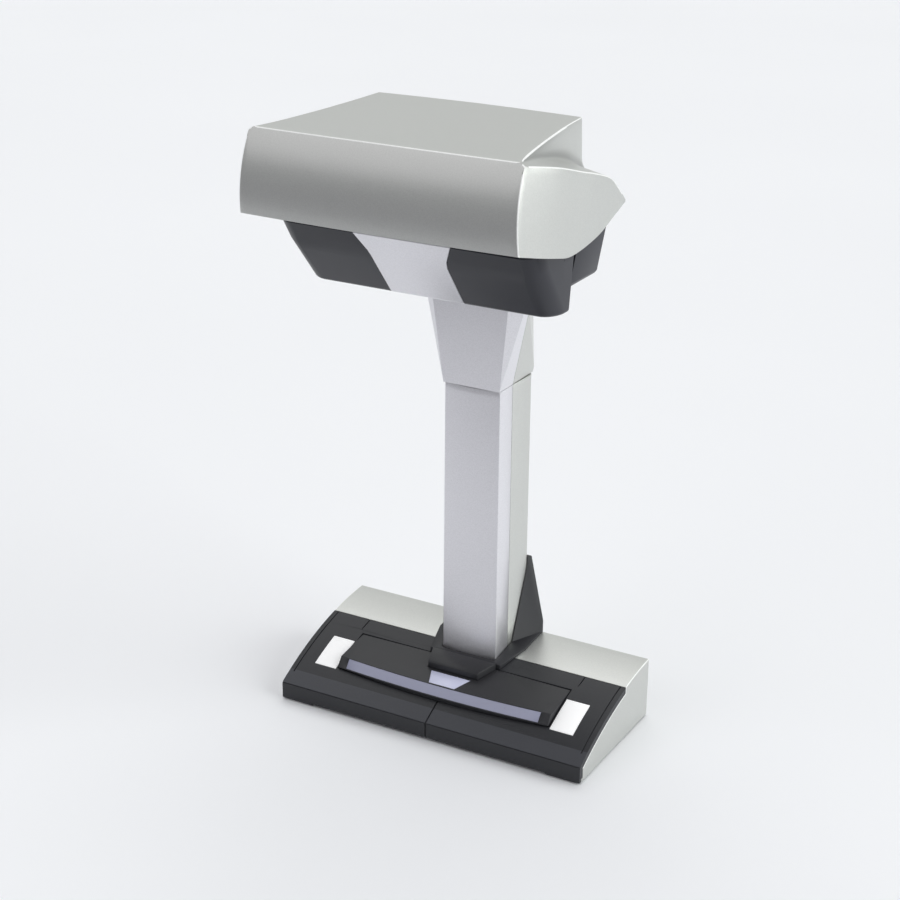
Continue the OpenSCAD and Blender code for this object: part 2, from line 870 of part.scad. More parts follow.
// side outline of the swinging unit
module unit_side(t)
    polygon(concat(
        [[-1 - t * 0.9, unit_z0 + t], [0.5 - t, rear_z0], [0.9 - t, pivot_z - 4]],
        arc(pivot_y, pivot_z, 9 - t * 0.5, 0, 90, 6),
        arc(pivot_y, pivot_z, unit_r - t, 150, 177, 5),
        arc(-14.6, 290.6, 7.4 - t, 216, 270, 5)
    ));

// the outline seen from the front, and in plan
module unit_front(t)
    polygon(concat(
        arc(unit_hw0 - 9, unit_z0 + 8, 8 - t, -90, -8, 6),
        [[unit_hw1 - t, 350], [-unit_hw1 + t, 350]],
        flip(arc(unit_hw0 - 9, unit_z0 + 8, 8 - t, -90, -8, 6))
    ));

module unit_plan(t)
    polygon(concat(
        arc(unit_hw1 - 15, -33.5, 15 - t, -90, 0, 7),
        [[unit_hw1 - t, 6], [-unit_hw1 + t, 6]],
        flip(arc(unit_hw1 - 15, -33.5, 15 - t, -90, 0, 7))
    ));

module unit_form(t)
    intersection() {
        along_x(-big / 4, big / 4) unit_side(t);
        along_y(-60, 10) unit_front(t);
        along_z(270, 360) unit_plan(t);
    }

module head_shell() color("#33353b")
    difference() {
        union() {
            difference() {
                unit_form(0);
                // hollow, open above and behind
                intersection() {
                    along_x(-end_in, end_in) polygon(concat(
                        [[-2.6, unit_z0 + 2.2], [-1.2, rear_z0], [20, rear_z0 + 2], [20, 360]],
                        [[-40, 360]],
                        arc(pivot_y, pivot_z, unit_r - 2, 150, 177, 5),
                        arc(-14.6, 290.6, 5.3, 216, 270, 5)
                    ));
                    along_z(270, 370) unit_plan(2);
                }
            }
            // hubs for the pivot bushes
            both_sides() rod_x(74.4, end_in + 0.5, pivot_y, pivot_z, 7.5);
            // rests for the optics frame
            both_sides() slab(56, 62, -27, -19, 293, 300);
        }
        both_sides() rod_x(74, 79.9, pivot_y, pivot_z, 4.5);
        stripe_solid(1.2, 3, 0.05);
        // windows in the under side
        slab(-20, 20, -15.5, -4.5, 280, 290);
        both_sides() slab(28, 68, -15.5, -4.5, 280, 290);
    }

function stripe_points(t) = [
    [23.3 + t, 270], [23.3 + t, 284], [24 + t, 310.8], [30 + t, 323.7], [38 + t, 341]
];
module stripe_solid(in, out, grow)
    intersection() {
        along_y(-70, 10) polygon(concat(stripe_points(grow), flip(stripe_points(grow))));
        difference() {
            along_x(-60, 60) unit_side(-out);
            along_x(-61, 61) unit_side(in);
        }
        along_x(-60, 60) polygon([
            [-70, 270], [-15.8 + grow, 270], [-15.8 + grow, 292], [-42, 330], [-43, 341], [-70, 341]
        ]);
    }

module head_stripe() color("#c3c6cf")
    stripe_solid(1.2, 0, 0);

// arc-shaped tail that keeps the gap behind the unit closed as it swings
module dust_skirt() color("#2b2d31")
    difference() {
        rod_x(-74.6, 74.6, pivot_y, pivot_z, skirt_r);
        rod_x(-75, 75, pivot_y, pivot_z, skirt_r - 1.6);
        // it spans from 74 to 28 degrees below the horizontal
        along_x(-80, 80) translate([pivot_y, pivot_z])
            for (a = [-28, 62, 106, 196]) rotate(a) square([60, 60]);
    }

module optics_frame() color("#8f949a")
    difference() {
        union() {
            slab(-70, 70, -28, -3.5, 300, 301.6);
            both_sides()
                along_x(47.5, 49.5) polygon(concat(
                    [[-26, 301.6], [-8, 301.6]],
                    [[0, 318]],
                    arc(pivot_y, pivot_z, 8, 0, 180, 10)
                ));
            // flag for the home sensor
            along_x(-65, -64) polygon([
                [pivot_y - 4, 322], [pivot_y - 2, 316], [19, 328], [19, 332], [pivot_y, 331]
            ]);
            slab(-65, -47.5, pivot_y - 6, pivot_y + 5, 320, 324);
        }
        rod_z(299, 303, 0, -10, 10);
        both_sides() rod_x(47, 50, pivot_y, pivot_z, 3);
    }

module pivot_bush_right() color("#d9d3c0")
    difference() {
        rod_x(74.4, 79.8, pivot_y, pivot_z, 4.5);
        rod_x(74, 80, pivot_y, pivot_z, 2.55);
    }

module pivot_bush_left() color("#d9d3c0") mirror([1, 0, 0])
    difference() {
        rod_x(74.4, 79.8, pivot_y, pivot_z, 4.5);
        rod_x(74, 80, pivot_y, pivot_z, 2.55);
    }

module lens_window() color("#9fb3c4")
    slab(-20, 20, -15.5, -4.5, 283.7, 285.2);

module lamp_diffuser_right() color("#e8ebf2")
    slab(28, 68, -15.5, -4.5, 283.7, 285.6);

module lamp_diffuser_left() color("#e8ebf2")
    slab(-68, -28, -15.5, -4.5, 283.7, 285.6);

module lens_barrel() color("#1b1c1e")
    difference() {
        union() {
            rod_z(288, 300, 0, -10, 7);
            rod_z(298, 314, 0, -10, 10);
            rod_z(301.6, 304, 0, -10, 12.5);
        }
        rod_z(280, 292, 0, -10, 6);
        rod_z(280, 320, 0, -10, 5);
    }

module lens_glass() color("#7f95b8")
    intersection() {
        rod_z(289.6, 292, 0, -10, 6);
        translate([0, -10, 309.4]) sphere(19.8, $fn = 96);
    }

module sensor_board() color("#2f6b45")
    slab(-26, 26, -28, 3, 316.4, 318);

module image_sensor() color("#3c3f46")
    slab(-15, 15, -14.5, -5.5, 314, 316.4);

module lamp_boards() color("#e3e6ea")
    both_sides() {
        slab(28, 68, -15, -5, 291, 292.2);
        for (x = [34, 62]) rod_z(292.2, 300, x, -10, 1.5);
    }

module lamp_leds() color("#f3e9b8")
    both_sides()
        for (i = [0 : 4]) slab(31 + i * 8, 34 + i * 8, -11.5, -8.5, 289.8, 291);

// ---------- assembly ----------

foot_pads();
base_bottom_cover();
base_plate();
base_front_cover();
base_rear_cover();
white_reference_left();
white_reference_right();
scan_button();
scan_button_strip();
lamp_window();
stop_button();
button_board();
tact_switches();
main_board();
board_chips();
dc_jack();
usb_socket();
security_slot_plate();
column_foot_cover();
column_front_cover();
column_rear_cover();
neck_front_cover();
neck_rear_cover();
column_frame();
wiring_harness();
base_screws();
head_chassis();
chassis_screws();
hood();
hood_baffle();
head_rear_housing();
head_board();
pivot_pin_left();
pivot_pin_right();
motor();
motor_bracket();
gear_axle();
home_sensor();
motor_shaft();
motor_pinion();
reduction_gear();
head_shell();
head_stripe();
optics_frame();
pivot_bush_left();
pivot_bush_right();
lens_window();
lamp_diffuser_left();
lamp_diffuser_right();
lens_barrel();
lens_glass();
sensor_board();
image_sensor();
lamp_boards();
lamp_leds();
sector_gear();
dust_skirt();
column_screws();
board_posts();
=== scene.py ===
"""Overhead book scanner: its outer shells, its materials and its studio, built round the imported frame.

Lengths in the classes are in millimetres, in the frame of the CAD model, and MM turns them into metres.
"""

import json
import logging
import math
from dataclasses import dataclass, field
from enum import Enum
from typing import Callable, Iterable, Sequence

import bmesh
import bpy
from mathutils import Matrix, Vector

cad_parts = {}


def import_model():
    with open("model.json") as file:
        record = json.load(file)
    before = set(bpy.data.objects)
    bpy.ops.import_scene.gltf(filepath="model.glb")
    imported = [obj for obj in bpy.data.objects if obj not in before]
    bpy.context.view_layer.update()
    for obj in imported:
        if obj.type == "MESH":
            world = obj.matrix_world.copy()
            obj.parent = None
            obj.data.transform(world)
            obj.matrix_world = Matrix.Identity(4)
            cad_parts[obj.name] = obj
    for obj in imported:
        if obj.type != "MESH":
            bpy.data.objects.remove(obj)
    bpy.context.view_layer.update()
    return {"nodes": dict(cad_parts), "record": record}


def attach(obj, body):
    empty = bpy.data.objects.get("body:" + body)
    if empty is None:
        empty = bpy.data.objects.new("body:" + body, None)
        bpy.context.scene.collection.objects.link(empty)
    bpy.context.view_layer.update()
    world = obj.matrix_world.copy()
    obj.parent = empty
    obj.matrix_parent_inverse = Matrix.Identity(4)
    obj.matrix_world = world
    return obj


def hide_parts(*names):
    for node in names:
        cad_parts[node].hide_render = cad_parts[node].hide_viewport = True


MM = 0.001
LOG = logging.getLogger("book_scanner")
SHARP = 28.0  # degrees between two faces from which their edge counts as sharp
MERGE = 0.01  # corners closer than this are one
Place = tuple[float, float, float]
Flat = tuple[float, float]
Colour = tuple[float, float, float]
Part = bmesh.types.BMVert | bmesh.types.BMEdge | bmesh.types.BMFace


class Body(Enum):
    """The bodies of the scanner that the pieces made here ride on."""

    STAND = "stand"
    HEAD = "scan_head"
    SCAN = "scan_button"
    STOP = "stop_button"


class Element(Enum):
    """What is picked in edit mode."""

    VERT = "VERT"
    EDGE = "EDGE"
    FACE = "FACE"


class Meeting(Enum):
    """How a piece meets the solid that shapes it."""

    CUT = "DIFFERENCE"
    KEEP = "INTERSECT"
    ADD = "UNION"


class Side(Enum):
    """The sides of the swinging unit's block."""

    END = 1
    LOW = 2
    FRONT = 3
    REAR = 4
    OTHER = 5


# ---------- materials ----------


class Signal:
    """One output socket of a node, with arithmetic that adds Math nodes."""

    def __init__(self, recipe: "Recipe", socket: bpy.types.NodeSocket) -> None:
        """Keeps the socket and the recipe that it belongs to."""
        self.recipe = recipe
        self.socket = socket

    def _math(self, operation: str, first: "Signal | float", second: "Signal | float") -> "Signal":
        """Adds one Math node.

        Args:
            operation: The Math node's operation.
            first: Its first value.
            second: Its second value.

        Returns:
            The node's result.
        """
        return self.recipe.node("ShaderNodeMath", {"operation": operation}, {0: first, 1: second})

    def __add__(self, other: "Signal | float") -> "Signal":
        """Sum."""
        return self._math("ADD", self, other)

    __radd__ = __add__

    def __sub__(self, other: "Signal | float") -> "Signal":
        """Difference."""
        return self._math("SUBTRACT", self, other)

    def __rsub__(self, other: float) -> "Signal":
        """Difference, reflected."""
        return self._math("SUBTRACT", other, self)

    def __mul__(self, other: "Signal | float") -> "Signal":
        """Product."""
        return self._math("MULTIPLY", self, other)

    __rmul__ = __mul__

    def above(self, level: float) -> "Signal":
        """1 where the value is over level, and 0 elsewhere."""
        return self._math("GREATER_THAN", self, level)


class Recipe:
    """A material while it is put together."""

    def __init__(self, name: str) -> None:
        """Starts a material that holds one Principled shader.

        Args:
            name: The material's name.
        """
        self.material = bpy.data.materials.new(name)
        self.material.use_nodes = True
        self.tree = self.material.node_tree
        self.tree.nodes.clear()
        self.shader = self.tree.nodes.new("ShaderNodeBsdfPrincipled")
        output = self.tree.nodes.new("ShaderNodeOutputMaterial")
        self.tree.links.new(self.shader.outputs[0], output.inputs[0])
        self.place = self.node("ShaderNodeTexCoord", output="Object")

    def feed(self, node: bpy.types.Node, key: str | int, value: object) -> None:
        """Sets or links one input socket.

        Args:
            node: The node that has the socket.
            key: The socket's name or number.
            value: A Signal to link, or the value to set.
        """
        if isinstance(value, Signal):
            self.tree.links.new(value.socket, node.inputs[key])
        else:
            node.inputs[key].default_value = value

    def node(
        self,
        kind: str,
        settings: dict[str, object] | None = None,
        sockets: dict[str | int, object] | None = None,
        output: str | int = 0,
    ) -> Signal:
        """Adds any node.

        Args:
            kind: The node's type.
            settings: Its own settings, which are set first; a ramp's stops go under "stops".
            sockets: The values or links of its input sockets.
            output: The output that is returned.

        Returns:
            The output, ready for arithmetic.
        """
        made = self.tree.nodes.new(kind)
        for key, value in (settings or {}).items():
            if key == "stops":
                ramp = made.color_ramp
                for element, (position, colour) in zip(ramp.elements, value):
                    element.position, element.color = position, colour
            else:
                setattr(made, key, value)
        for key, value in (sockets or {}).items():
            self.feed(made, key, value)
        return Signal(self, made.outputs[output])

    def noise(self, scale: float, detail: float = 2.0, stretch: Place = (1, 1, 1)) -> Signal:
        """Soft random values from 0 to 1.

        Args:
            scale: Grains per metre.
            detail: Octaves.
            stretch: Factors on the three coordinates.

        Returns:
            The values.
        """
        place = self.place
        if stretch != (1, 1, 1):
            place = self.node("ShaderNodeMapping", sockets={"Vector": place, "Scale": stretch})
        return self.node("ShaderNodeTexNoise", sockets={"Vector": place, "Scale": scale, "Detail": detail})

    def cells(self, scale: float) -> Signal:
        """Random values from 0 to 1, the same over each small cell.

        Args:
            scale: Cells per metre.

        Returns:
            The values.
        """
        sockets = {"Vector": self.place, "Scale": scale}
        colour = self.node("ShaderNodeTexVoronoi", sockets=sockets, output="Color")
        return self.node("ShaderNodeSeparateColor", sockets={0: colour})

    def mixed(self, factor: Signal, first: Colour, second: Colour) -> Signal:
        """A colour between two colours, from a Mix node's own colour sockets (6 and 7 in, 2 out).

        Args:
            factor: 0 for the first, 1 for the second.
            first: The first colour.
            second: The second colour.

        Returns:
            The colour.
        """
        sockets = {0: factor, 6: rgba(first), 7: rgba(second)}
        return self.node("ShaderNodeMix", {"data_type": "RGBA"}, sockets, output=2)

    def grain(self, height: Signal, strength: float, depth: float) -> None:
        """Puts a bump on the shader.

        Args:
            height: The relief, from 0 to 1.
            strength: The bump's strength.
            depth: The relief's depth in metres.
        """
        sockets = {"Strength": strength, "Distance": depth, "Height": height}
        self.feed(self.shader, "Normal", self.node("ShaderNodeBump", sockets=sockets))

    def done(self, **sockets: object) -> bpy.types.Material:
        """Sets the shader's own sockets.

        Args:
            **sockets: Socket names with _ for spaces, and their values or links.

        Returns:
            The finished material.
        """
        for key, value in sockets.items():
            self.feed(self.shader, key.replace("_", " "), value)
        return self.material


def rgba(colour: Colour) -> tuple[float, float, float, float]:
    """A colour with full opacity."""
    return (colour[0], colour[1], colour[2], 1.0)


def scaled(colour: Colour, factor: float) -> Colour:
    """A colour made lighter or darker."""
    return tuple(min(1.0, c * factor) for c in colour)


@dataclass(frozen=True)
class Finish:
    """What every finish has: a name, a colour, a roughness and, if it is in relief, the depth in metres."""

    name: str
    colour: Colour
    roughness: float = 0.5
    relief: float = field(default=0.00003, kw_only=True)

    def make(self) -> bpy.types.Material:
        """Builds the material; each kind of finish does this its own way."""
        raise NotImplementedError


@dataclass(frozen=True)
class MetallicPaint(Finish):
    """Silver paint with fine flakes under a satin lacquer."""

    metallic: float = 0.78
    flake: float = 0.1
    coat: float = 0.12
    pitch: float = 2600.0

    def make(self) -> bpy.types.Material:
        """Flakes vary the colour and the gloss, and a faint orange peel lies over them.

        Returns:
            The material.
        """
        paint = Recipe(self.name)
        flakes = paint.cells(self.pitch)
        tone = flakes * 0.8 + paint.noise(14) * 0.2
        colour = paint.mixed(tone, scaled(self.colour, 1 - self.flake), scaled(self.colour, 1 + self.flake))
        peel = paint.noise(900, 3) * 0.6 + flakes * 0.4
        paint.grain(peel, 0.08, self.relief)
        return paint.done(
            Base_Color=colour,
            Roughness=self.roughness + (flakes - 0.5) * 0.12,
            Metallic=self.metallic,
            Coat_Weight=self.coat,
            Coat_Roughness=0.25,
        )


@dataclass(frozen=True)
class MouldedPlastic(Finish):
    """Plastic with a fine moulded grain."""

    grain: float = 0.3
    pitch: float = 2600.0
    coat: float = 0.0
    painted_glow: float = 0.0
    relief: float = field(default=0.00006, kw_only=True)

    def make(self) -> bpy.types.Material:
        """A leathery grain in the relief, with a little unevenness in colour and gloss.

        Returns:
            The material.
        """
        plastic = Recipe(self.name)
        fine = plastic.noise(self.pitch, 3)
        cloud = plastic.noise(22)
        plastic.grain(fine, self.grain, self.relief)
        colour = plastic.mixed(fine * 0.5 + cloud * 0.5, scaled(self.colour, 0.86), scaled(self.colour, 1.14))
        return plastic.done(
            Base_Color=colour,
            Roughness=self.roughness + (cloud - 0.5) * 0.14,
            Coat_Weight=self.coat,
            Coat_Roughness=0.3,
            Specular_IOR_Level=0.36,
            # painted glow: emission in the plastic's own colour, which makes a part that is no lamp give off
            # light
            Emission_Color=colour,
            Emission_Strength=self.painted_glow,
        )


@dataclass(frozen=True)
class LightGuide(Finish):
    """Milky plastic that carries the light of the lamps below it."""

    second: Colour = (0.62, 0.62, 0.76)

    def make(self) -> bpy.types.Material:
        """The tint drifts along the piece, and the surface is slightly glossy.

        Returns:
            The material.
        """
        guide = Recipe(self.name)
        drift = guide.noise(9, 1)
        milk = guide.noise(700, 2)
        guide.grain(milk, 0.05, self.relief)
        return guide.done(
            Base_Color=guide.mixed(drift * 0.8 + milk * 0.2, self.colour, self.second),
            Roughness=self.roughness + (milk - 0.5) * 0.1,
            Coat_Weight=0.35,
            Coat_Roughness=0.15,
        )


@dataclass(frozen=True)
class Metal(Finish):
    """Sheet or turned metal with a brushed surface."""

    stretch: Place = (1, 14, 14)

    def make(self) -> bpy.types.Material:
        """Long fine scratches along one direction.

        Returns:
            The material.
        """
        metal = Recipe(self.name)
        brushed = metal.noise(160, 4, self.stretch)
        metal.grain(brushed, 0.12, self.relief)
        return metal.done(
            Base_Color=metal.mixed(brushed, scaled(self.colour, 0.88), scaled(self.colour, 1.1)),
            Roughness=self.roughness + (brushed - 0.5) * 0.2,
            Metallic=1.0,
        )


@dataclass(frozen=True)
class Laminate(Finish):
    """Circuit board with tracks under its solder mask."""

    relief: float = field(default=0.00004, kw_only=True)

    def make(self) -> bpy.types.Material:
        """Tracks show as slightly lighter cells with a raised edge.

        Returns:
            The material.
        """
        board = Recipe(self.name)
        tracks = board.cells(420).above(0.55)
        mottle = board.noise(2000)
        board.grain(tracks, 0.2, self.relief)
        return board.done(
            Base_Color=board.mixed(tracks * 0.7 + mottle * 0.3, self.colour, scaled(self.colour, 1.8)),
            Roughness=self.roughness + (mottle - 0.5) * 0.1,
            Coat_Weight=0.4,
        )


@dataclass(frozen=True)
class ClearPart(Finish):
    """Glass or a frosted cover."""

    transmission: float = 1.0

    def make(self) -> bpy.types.Material:
        """Light passes through, with a faint unevenness in the gloss.

        Returns:
            The material.
        """
        glass = Recipe(self.name)
        haze = glass.noise(300)
        return glass.done(
            Base_Color=glass.mixed(haze, self.colour, scaled(self.colour, 0.94)),
            Roughness=self.roughness + haze * 0.04,
            Transmission_Weight=self.transmission,
            IOR=1.5,
            Coat_Weight=0.3,
        )


FINISHES: dict[str, Finish] = {
    "silver_paint": MetallicPaint("satin_silver_paint", (0.60, 0.61, 0.59), 0.37, flake=0.06),
    # painted highlight: a near-white, non-metallic copy of the silver paint for rounded edges, standing in
    # for the bright lines that light draws along them
    "edge_painted_highlight": MetallicPaint(
        "silver_paint_on_edges", (0.94, 0.95, 0.94), 0.4, metallic=0.0, flake=0.04, coat=0.6
    ),
    # painted light: a lighter, lilac copy of the one silver paint for the front covers and the stripe,
    # standing in for the light that falls on their fronts
    "silver_lilac": MetallicPaint("cool_silver_paint", (0.76, 0.755, 0.79), 0.38, flake=0.07),
    "black_plastic": MouldedPlastic("charcoal_plastic", (0.025, 0.026, 0.030), 0.44, grain=0.35),
    # painted light: a lighter copy of the black plastic for the band between the lip and the crease, standing
    # in for the light that its other slope catches; its coarser grain is the real texture
    "crease_band_painted_light": MouldedPlastic(
        "charcoal_plastic_band", (0.052, 0.054, 0.063), 0.5, grain=0.6, pitch=1500.0
    ),
    "head_black": MouldedPlastic("charcoal_satin", (0.024, 0.025, 0.033), 0.38, grain=0.12, pitch=1800.0),
    "button_black": MouldedPlastic("button_plastic", (0.024, 0.0245, 0.028), 0.40, grain=0.25, pitch=3000.0),
    "lilac_light_guide": LightGuide("lilac_light_guide", (0.30, 0.31, 0.42), 0.3, (0.36, 0.37, 0.50)),
    "lamp_lilac": LightGuide("lamp_lilac", (0.60, 0.62, 0.84), 0.3, (0.74, 0.75, 0.93)),
    # painted glow: the white patches give off a little light of their own, so that they look brighter than
    # the lamps make them
    "white_patch": MouldedPlastic("reference_white", (0.94, 0.94, 0.95), 0.6, grain=0.1, painted_glow=0.22),
    "rubber_black": MouldedPlastic("foot_rubber", (0.02, 0.02, 0.02), 0.85, grain=0.5, pitch=1500.0),
    "steel": Metal("zinc_steel", (0.52, 0.53, 0.54), 0.38),
    "steel_bright": Metal("ground_steel", (0.66, 0.66, 0.68), 0.22, (20, 1, 1)),
    "screw_steel": Metal("black_steel", (0.16, 0.16, 0.17), 0.4),
    "circuit_board": Laminate("solder_mask", (0.03, 0.13, 0.06), 0.42),
    "chip_black": MouldedPlastic("chip_resin", (0.018, 0.018, 0.02), 0.55),
    "socket_black": MouldedPlastic("socket_plastic", (0.015, 0.015, 0.016), 0.5),
    "socket_metal": Metal("tinned_shell", (0.6, 0.6, 0.61), 0.3),
    "wire": MouldedPlastic("wire_insulation", (0.5, 0.48, 0.43), 0.5, grain=0.1),
    "nylon": MouldedPlastic("natural_acetal", (0.74, 0.71, 0.63), 0.38, grain=0.1),
    "brass": Metal("turned_brass", (0.64, 0.44, 0.17), 0.28, (20, 1, 1)),
    "lens_glass": ClearPart("coated_glass", (0.75, 0.82, 0.95), 0.03, 0.9),
    "diffuser": ClearPart("frosted_cover", (0.86, 0.87, 0.9), 0.45, 0.45),
    "lens_black": MouldedPlastic("black_anodised", (0.022, 0.022, 0.024), 0.35, grain=0.1),
    "led": LightGuide("lamp_diode", (0.8, 0.7, 0.36), 0.25, (0.9, 0.85, 0.6)),
    "board_white": Laminate("white_board", (0.6, 0.6, 0.6), 0.45),
}


class Wardrobe:
    """The scanner's materials, each made once."""

    def __init__(self) -> None:
        """Starts empty."""
        self.made: dict[str, bpy.types.Material] = {}

    def get(self, slot: str) -> bpy.types.Material:
        """The material of a slot, made when it is first asked for.

        Args:
            slot: The slot's name.

        Returns:
            Its material.
        """
        if slot not in self.made:
            self.made[slot] = FINISHES[slot].make()
        return self.made[slot]

    def dress(self, piece: bpy.types.Object, slot: str, *more: str) -> None:
        """Gives a piece its material, and further ones for faces that have their number.

        Args:
            piece: The piece.
            slot: Its slot.
            *more: Further finishes, numbered from 1.
        """
        numbers = [polygon.material_index for polygon in piece.data.polygons]
        piece.data.materials.clear()
        for name in (slot, *more):
            piece.data.materials.append(self.get(name))
        if more:
            piece.data.polygons.foreach_set("material_index", numbers)


# ---------- the workbench ----------


def pick_only(*pieces: bpy.types.Object) -> None:
    """Selects some objects and nothing else.

    Args:
        *pieces: The objects; the first becomes the active one.
    """
    bpy.ops.object.select_all(action="DESELECT")
    for piece in pieces:
        piece.select_set(True)
    bpy.context.view_layer.objects.active = pieces[0]


class Bench:
    """Edit mode on one object, as a context: in at the start, out at the end."""

    def __init__(self, piece: bpy.types.Object, mode: Element = Element.EDGE) -> None:
        """Keeps the object and the kind of element to work on."""
        self.piece = piece
        self.mode = mode

    def __enter__(self) -> "Bench":
        """Goes into edit mode with nothing selected.

        Returns:
            The bench itself.
        """
        pick_only(self.piece)
        bpy.ops.object.mode_set(mode="EDIT")
        bpy.ops.mesh.select_mode(type=self.mode.value)
        bpy.ops.mesh.select_all(action="DESELECT")
        return self

    def __exit__(self, *_: object) -> None:
        """Comes back to object mode."""
        bpy.ops.object.mode_set(mode="OBJECT")

    def choose(self, test: Callable[[Part], bool]) -> None:
        """Selects the elements that pass a test, and nothing else.

        Args:
            test: Says whether an element is wanted.
        """
        bpy.ops.mesh.select_all(action="DESELECT")
        mesh = bmesh.from_edit_mesh(self.piece.data)
        mesh.normal_update()
        groups = {Element.VERT: mesh.verts, Element.EDGE: mesh.edges, Element.FACE: mesh.faces}
        for element in [element for element in groups[self.mode] if test(element)]:
            element.select_set(True)
        mesh.select_flush_mode()
        bmesh.update_edit_mesh(self.piece.data)

    def all(self) -> None:
        """Selects everything."""
        bpy.ops.mesh.select_all(action="SELECT")

    @staticmethod
    def round_off(width: float, segments: int = 3, clamp: bool = True, skin: int = -1) -> None:
        """Bevels the selected edges.

        Args:
            width: The width in millimetres.
            segments: Faces across it.
            clamp: Keep it from overlapping.
            skin: Number of the material that its faces get, or -1 for the neighbours' own.
        """
        bpy.ops.mesh.bevel(
            offset=width * MM, offset_type="OFFSET", segments=segments, profile=0.5, affect="EDGES",
            clamp_overlap=clamp, loop_slide=False, material=skin,
        )

    @staticmethod
    def outward() -> None:
        """Merges doubles and turns all faces outwards."""
        bpy.ops.mesh.select_all(action="SELECT")
        bpy.ops.mesh.remove_doubles(threshold=MERGE * MM)
        bpy.ops.mesh.normals_make_consistent(inside=False)


def middle(edge: bmesh.types.BMEdge) -> Vector:
    """The middle of an edge, in millimetres."""
    return (edge.verts[0].co + edge.verts[1].co) * (0.5 / MM)


def sharpness(edge: bmesh.types.BMEdge) -> float:
    """The angle between an edge's two faces, in degrees, or 0 at a border."""
    return math.degrees(edge.calc_face_angle(0.0)) if len(edge.link_faces) == 2 else 0.0


def has_room(edge: bmesh.types.BMEdge, width: float) -> bool:
    """Whether the other edges at an edge's ends leave room for a rounding.

    Args:
        edge: The edge to be rounded.
        width: Width of the rounding in millimetres.

    Returns:
        True if no edge that leads away from it is too short.
    """
    along = (edge.verts[1].co - edge.verts[0].co).normalized()
    for corner in edge.verts:
        for other in corner.link_edges:
            away = (other.verts[1].co - other.verts[0].co).normalized()
            follows = sharpness(other) > SHARP and abs(along.dot(away)) > 0.86
            if not follows and other.calc_length() < 1.25 * width * MM:
                return False
    return edge.calc_length() > 0.4 * width * MM


def apply(piece: bpy.types.Object, kind: str, **settings: object) -> None:
    """Adds a modifier, sets it and applies it.

    Args:
        piece: The object.
        kind: The modifier's type.
        **settings: Its settings.
    """
    pick_only(piece)
    modifier = piece.modifiers.new(kind.lower(), kind)
    for key, value in settings.items():
        setattr(modifier, key, value)
    bpy.ops.object.modifier_apply(modifier=modifier.name)


def block(name: str, low: Place, high: Place) -> bpy.types.Object:
    """A box with its place in its mesh.

    Args:
        name: The object's name.
        low: Its lowest corner in millimetres.
        high: Its highest corner.

    Returns:
        The box.
    """
    low_v, high_v = Vector(low) * MM, Vector(high) * MM
    bpy.ops.object.select_all(action="DESELECT")
    bpy.ops.mesh.primitive_cube_add(size=1, location=(low_v + high_v) / 2)
    made = bpy.context.object
    made.name = name
    made.scale = high_v - low_v
    bpy.ops.object.transform_apply(location=True, rotation=True, scale=True)
    return made


def span(name: str, x: Sequence[float], y: Sequence[float], z: Sequence[float]) -> bpy.types.Object:
    """A box from its reach along each axis, in millimetres."""
    return block(name, (x[0], y[0], z[0]), (x[1], y[1], z[1]))


def sheet_of(name: str, rows: Sequence[Sequence[Vector]]) -> bpy.types.Object:
    """A grid whose points are moved onto rows of places.

    Args:
        name: The object's name.
        rows: Rows of places in millimetres, all of one length.

    Returns:
        The sheet.
    """
    bpy.ops.object.select_all(action="DESELECT")
    bpy.ops.mesh.primitive_grid_add(x_subdivisions=len(rows[0]) - 1, y_subdivisions=len(rows) - 1, size=1)
    made = bpy.context.object
    made.name = name
    ordered = sorted(made.data.vertices, key=lambda v: (round(v.co.y, 5), round(v.co.x, 5)))
    for vertex, place in zip(ordered, (place for row in rows for place in row)):
        vertex.co = place * MM
    made.data.update()
    return made


def prism(
    name: str, outline: Sequence[Flat], start: float, end: float, along_x: bool = False
) -> bpy.types.Object:
    """A solid drawn in Z and one level axis, and drawn out along the other level axis.

    Args:
        name: The object's name.
        outline: The outline's corners in order, in millimetres.
        start: Where it starts.
        end: Where it ends.
        along_x: Drawn in Y and Z and drawn out along X, instead of in X and Z along Y.

    Returns:
        The solid.
    """
    bpy.ops.object.select_all(action="DESELECT")
    bpy.ops.mesh.primitive_circle_add(vertices=len(outline), fill_type="NGON")
    made = bpy.context.object
    made.name = name
    for vertex, (level, z) in zip(made.data.vertices, outline):
        vertex.co = Vector((start, level, z) if along_x else (level, start, z)) * MM
    reach = (end - start) * MM
    move = (reach, 0, 0) if along_x else (0, reach, 0)
    with Bench(made, Element.FACE) as bench:
        bench.all()
        bpy.ops.mesh.extrude_region_move(TRANSFORM_OT_translate={"value": move})
        bench.outward()
    return made


def rod(name: str, x0: float, x1: float, centre: Flat, radius: float) -> bpy.types.Object:
    """A round rod along X.

    Args:
        name: The object's name.
        x0: Where it starts.
        x1: Where it ends.
        centre: Its axis in Y and Z.
        radius: Its radius.

    Returns:
        The rod.
    """
    steps = (2 * math.pi * i / 48 for i in range(48))
    outline = [(centre[0] + radius * math.cos(a), centre[1] + radius * math.sin(a)) for a in steps]
    return prism(name, outline, x0, x1, along_x=True)


def cut(piece: bpy.types.Object, cutter: bpy.types.Object, meeting: Meeting = Meeting.CUT) -> None:
    """Cuts a piece with another solid, or joins them; the other solid is then removed."""
    apply(piece, "BOOLEAN", operation=meeting.value, object=cutter, solver="EXACT")
    bpy.data.objects.remove(cutter)


def twin(piece: bpy.types.Object, name: str) -> bpy.types.Object:
    """A copy with its own mesh.

    Args:
        piece: The object to copy.
        name: The copy's name.

    Returns:
        The copy.
    """
    pick_only(piece)
    bpy.ops.object.duplicate()
    made = bpy.context.object
    made.name = name
    return made


def smooth(piece: bpy.types.Object, angle: float = 32.0) -> None:
    """Shades smooth across edges blunter than the angle."""
    pick_only(piece)
    bpy.ops.object.shade_smooth_by_angle(angle=math.radians(angle))


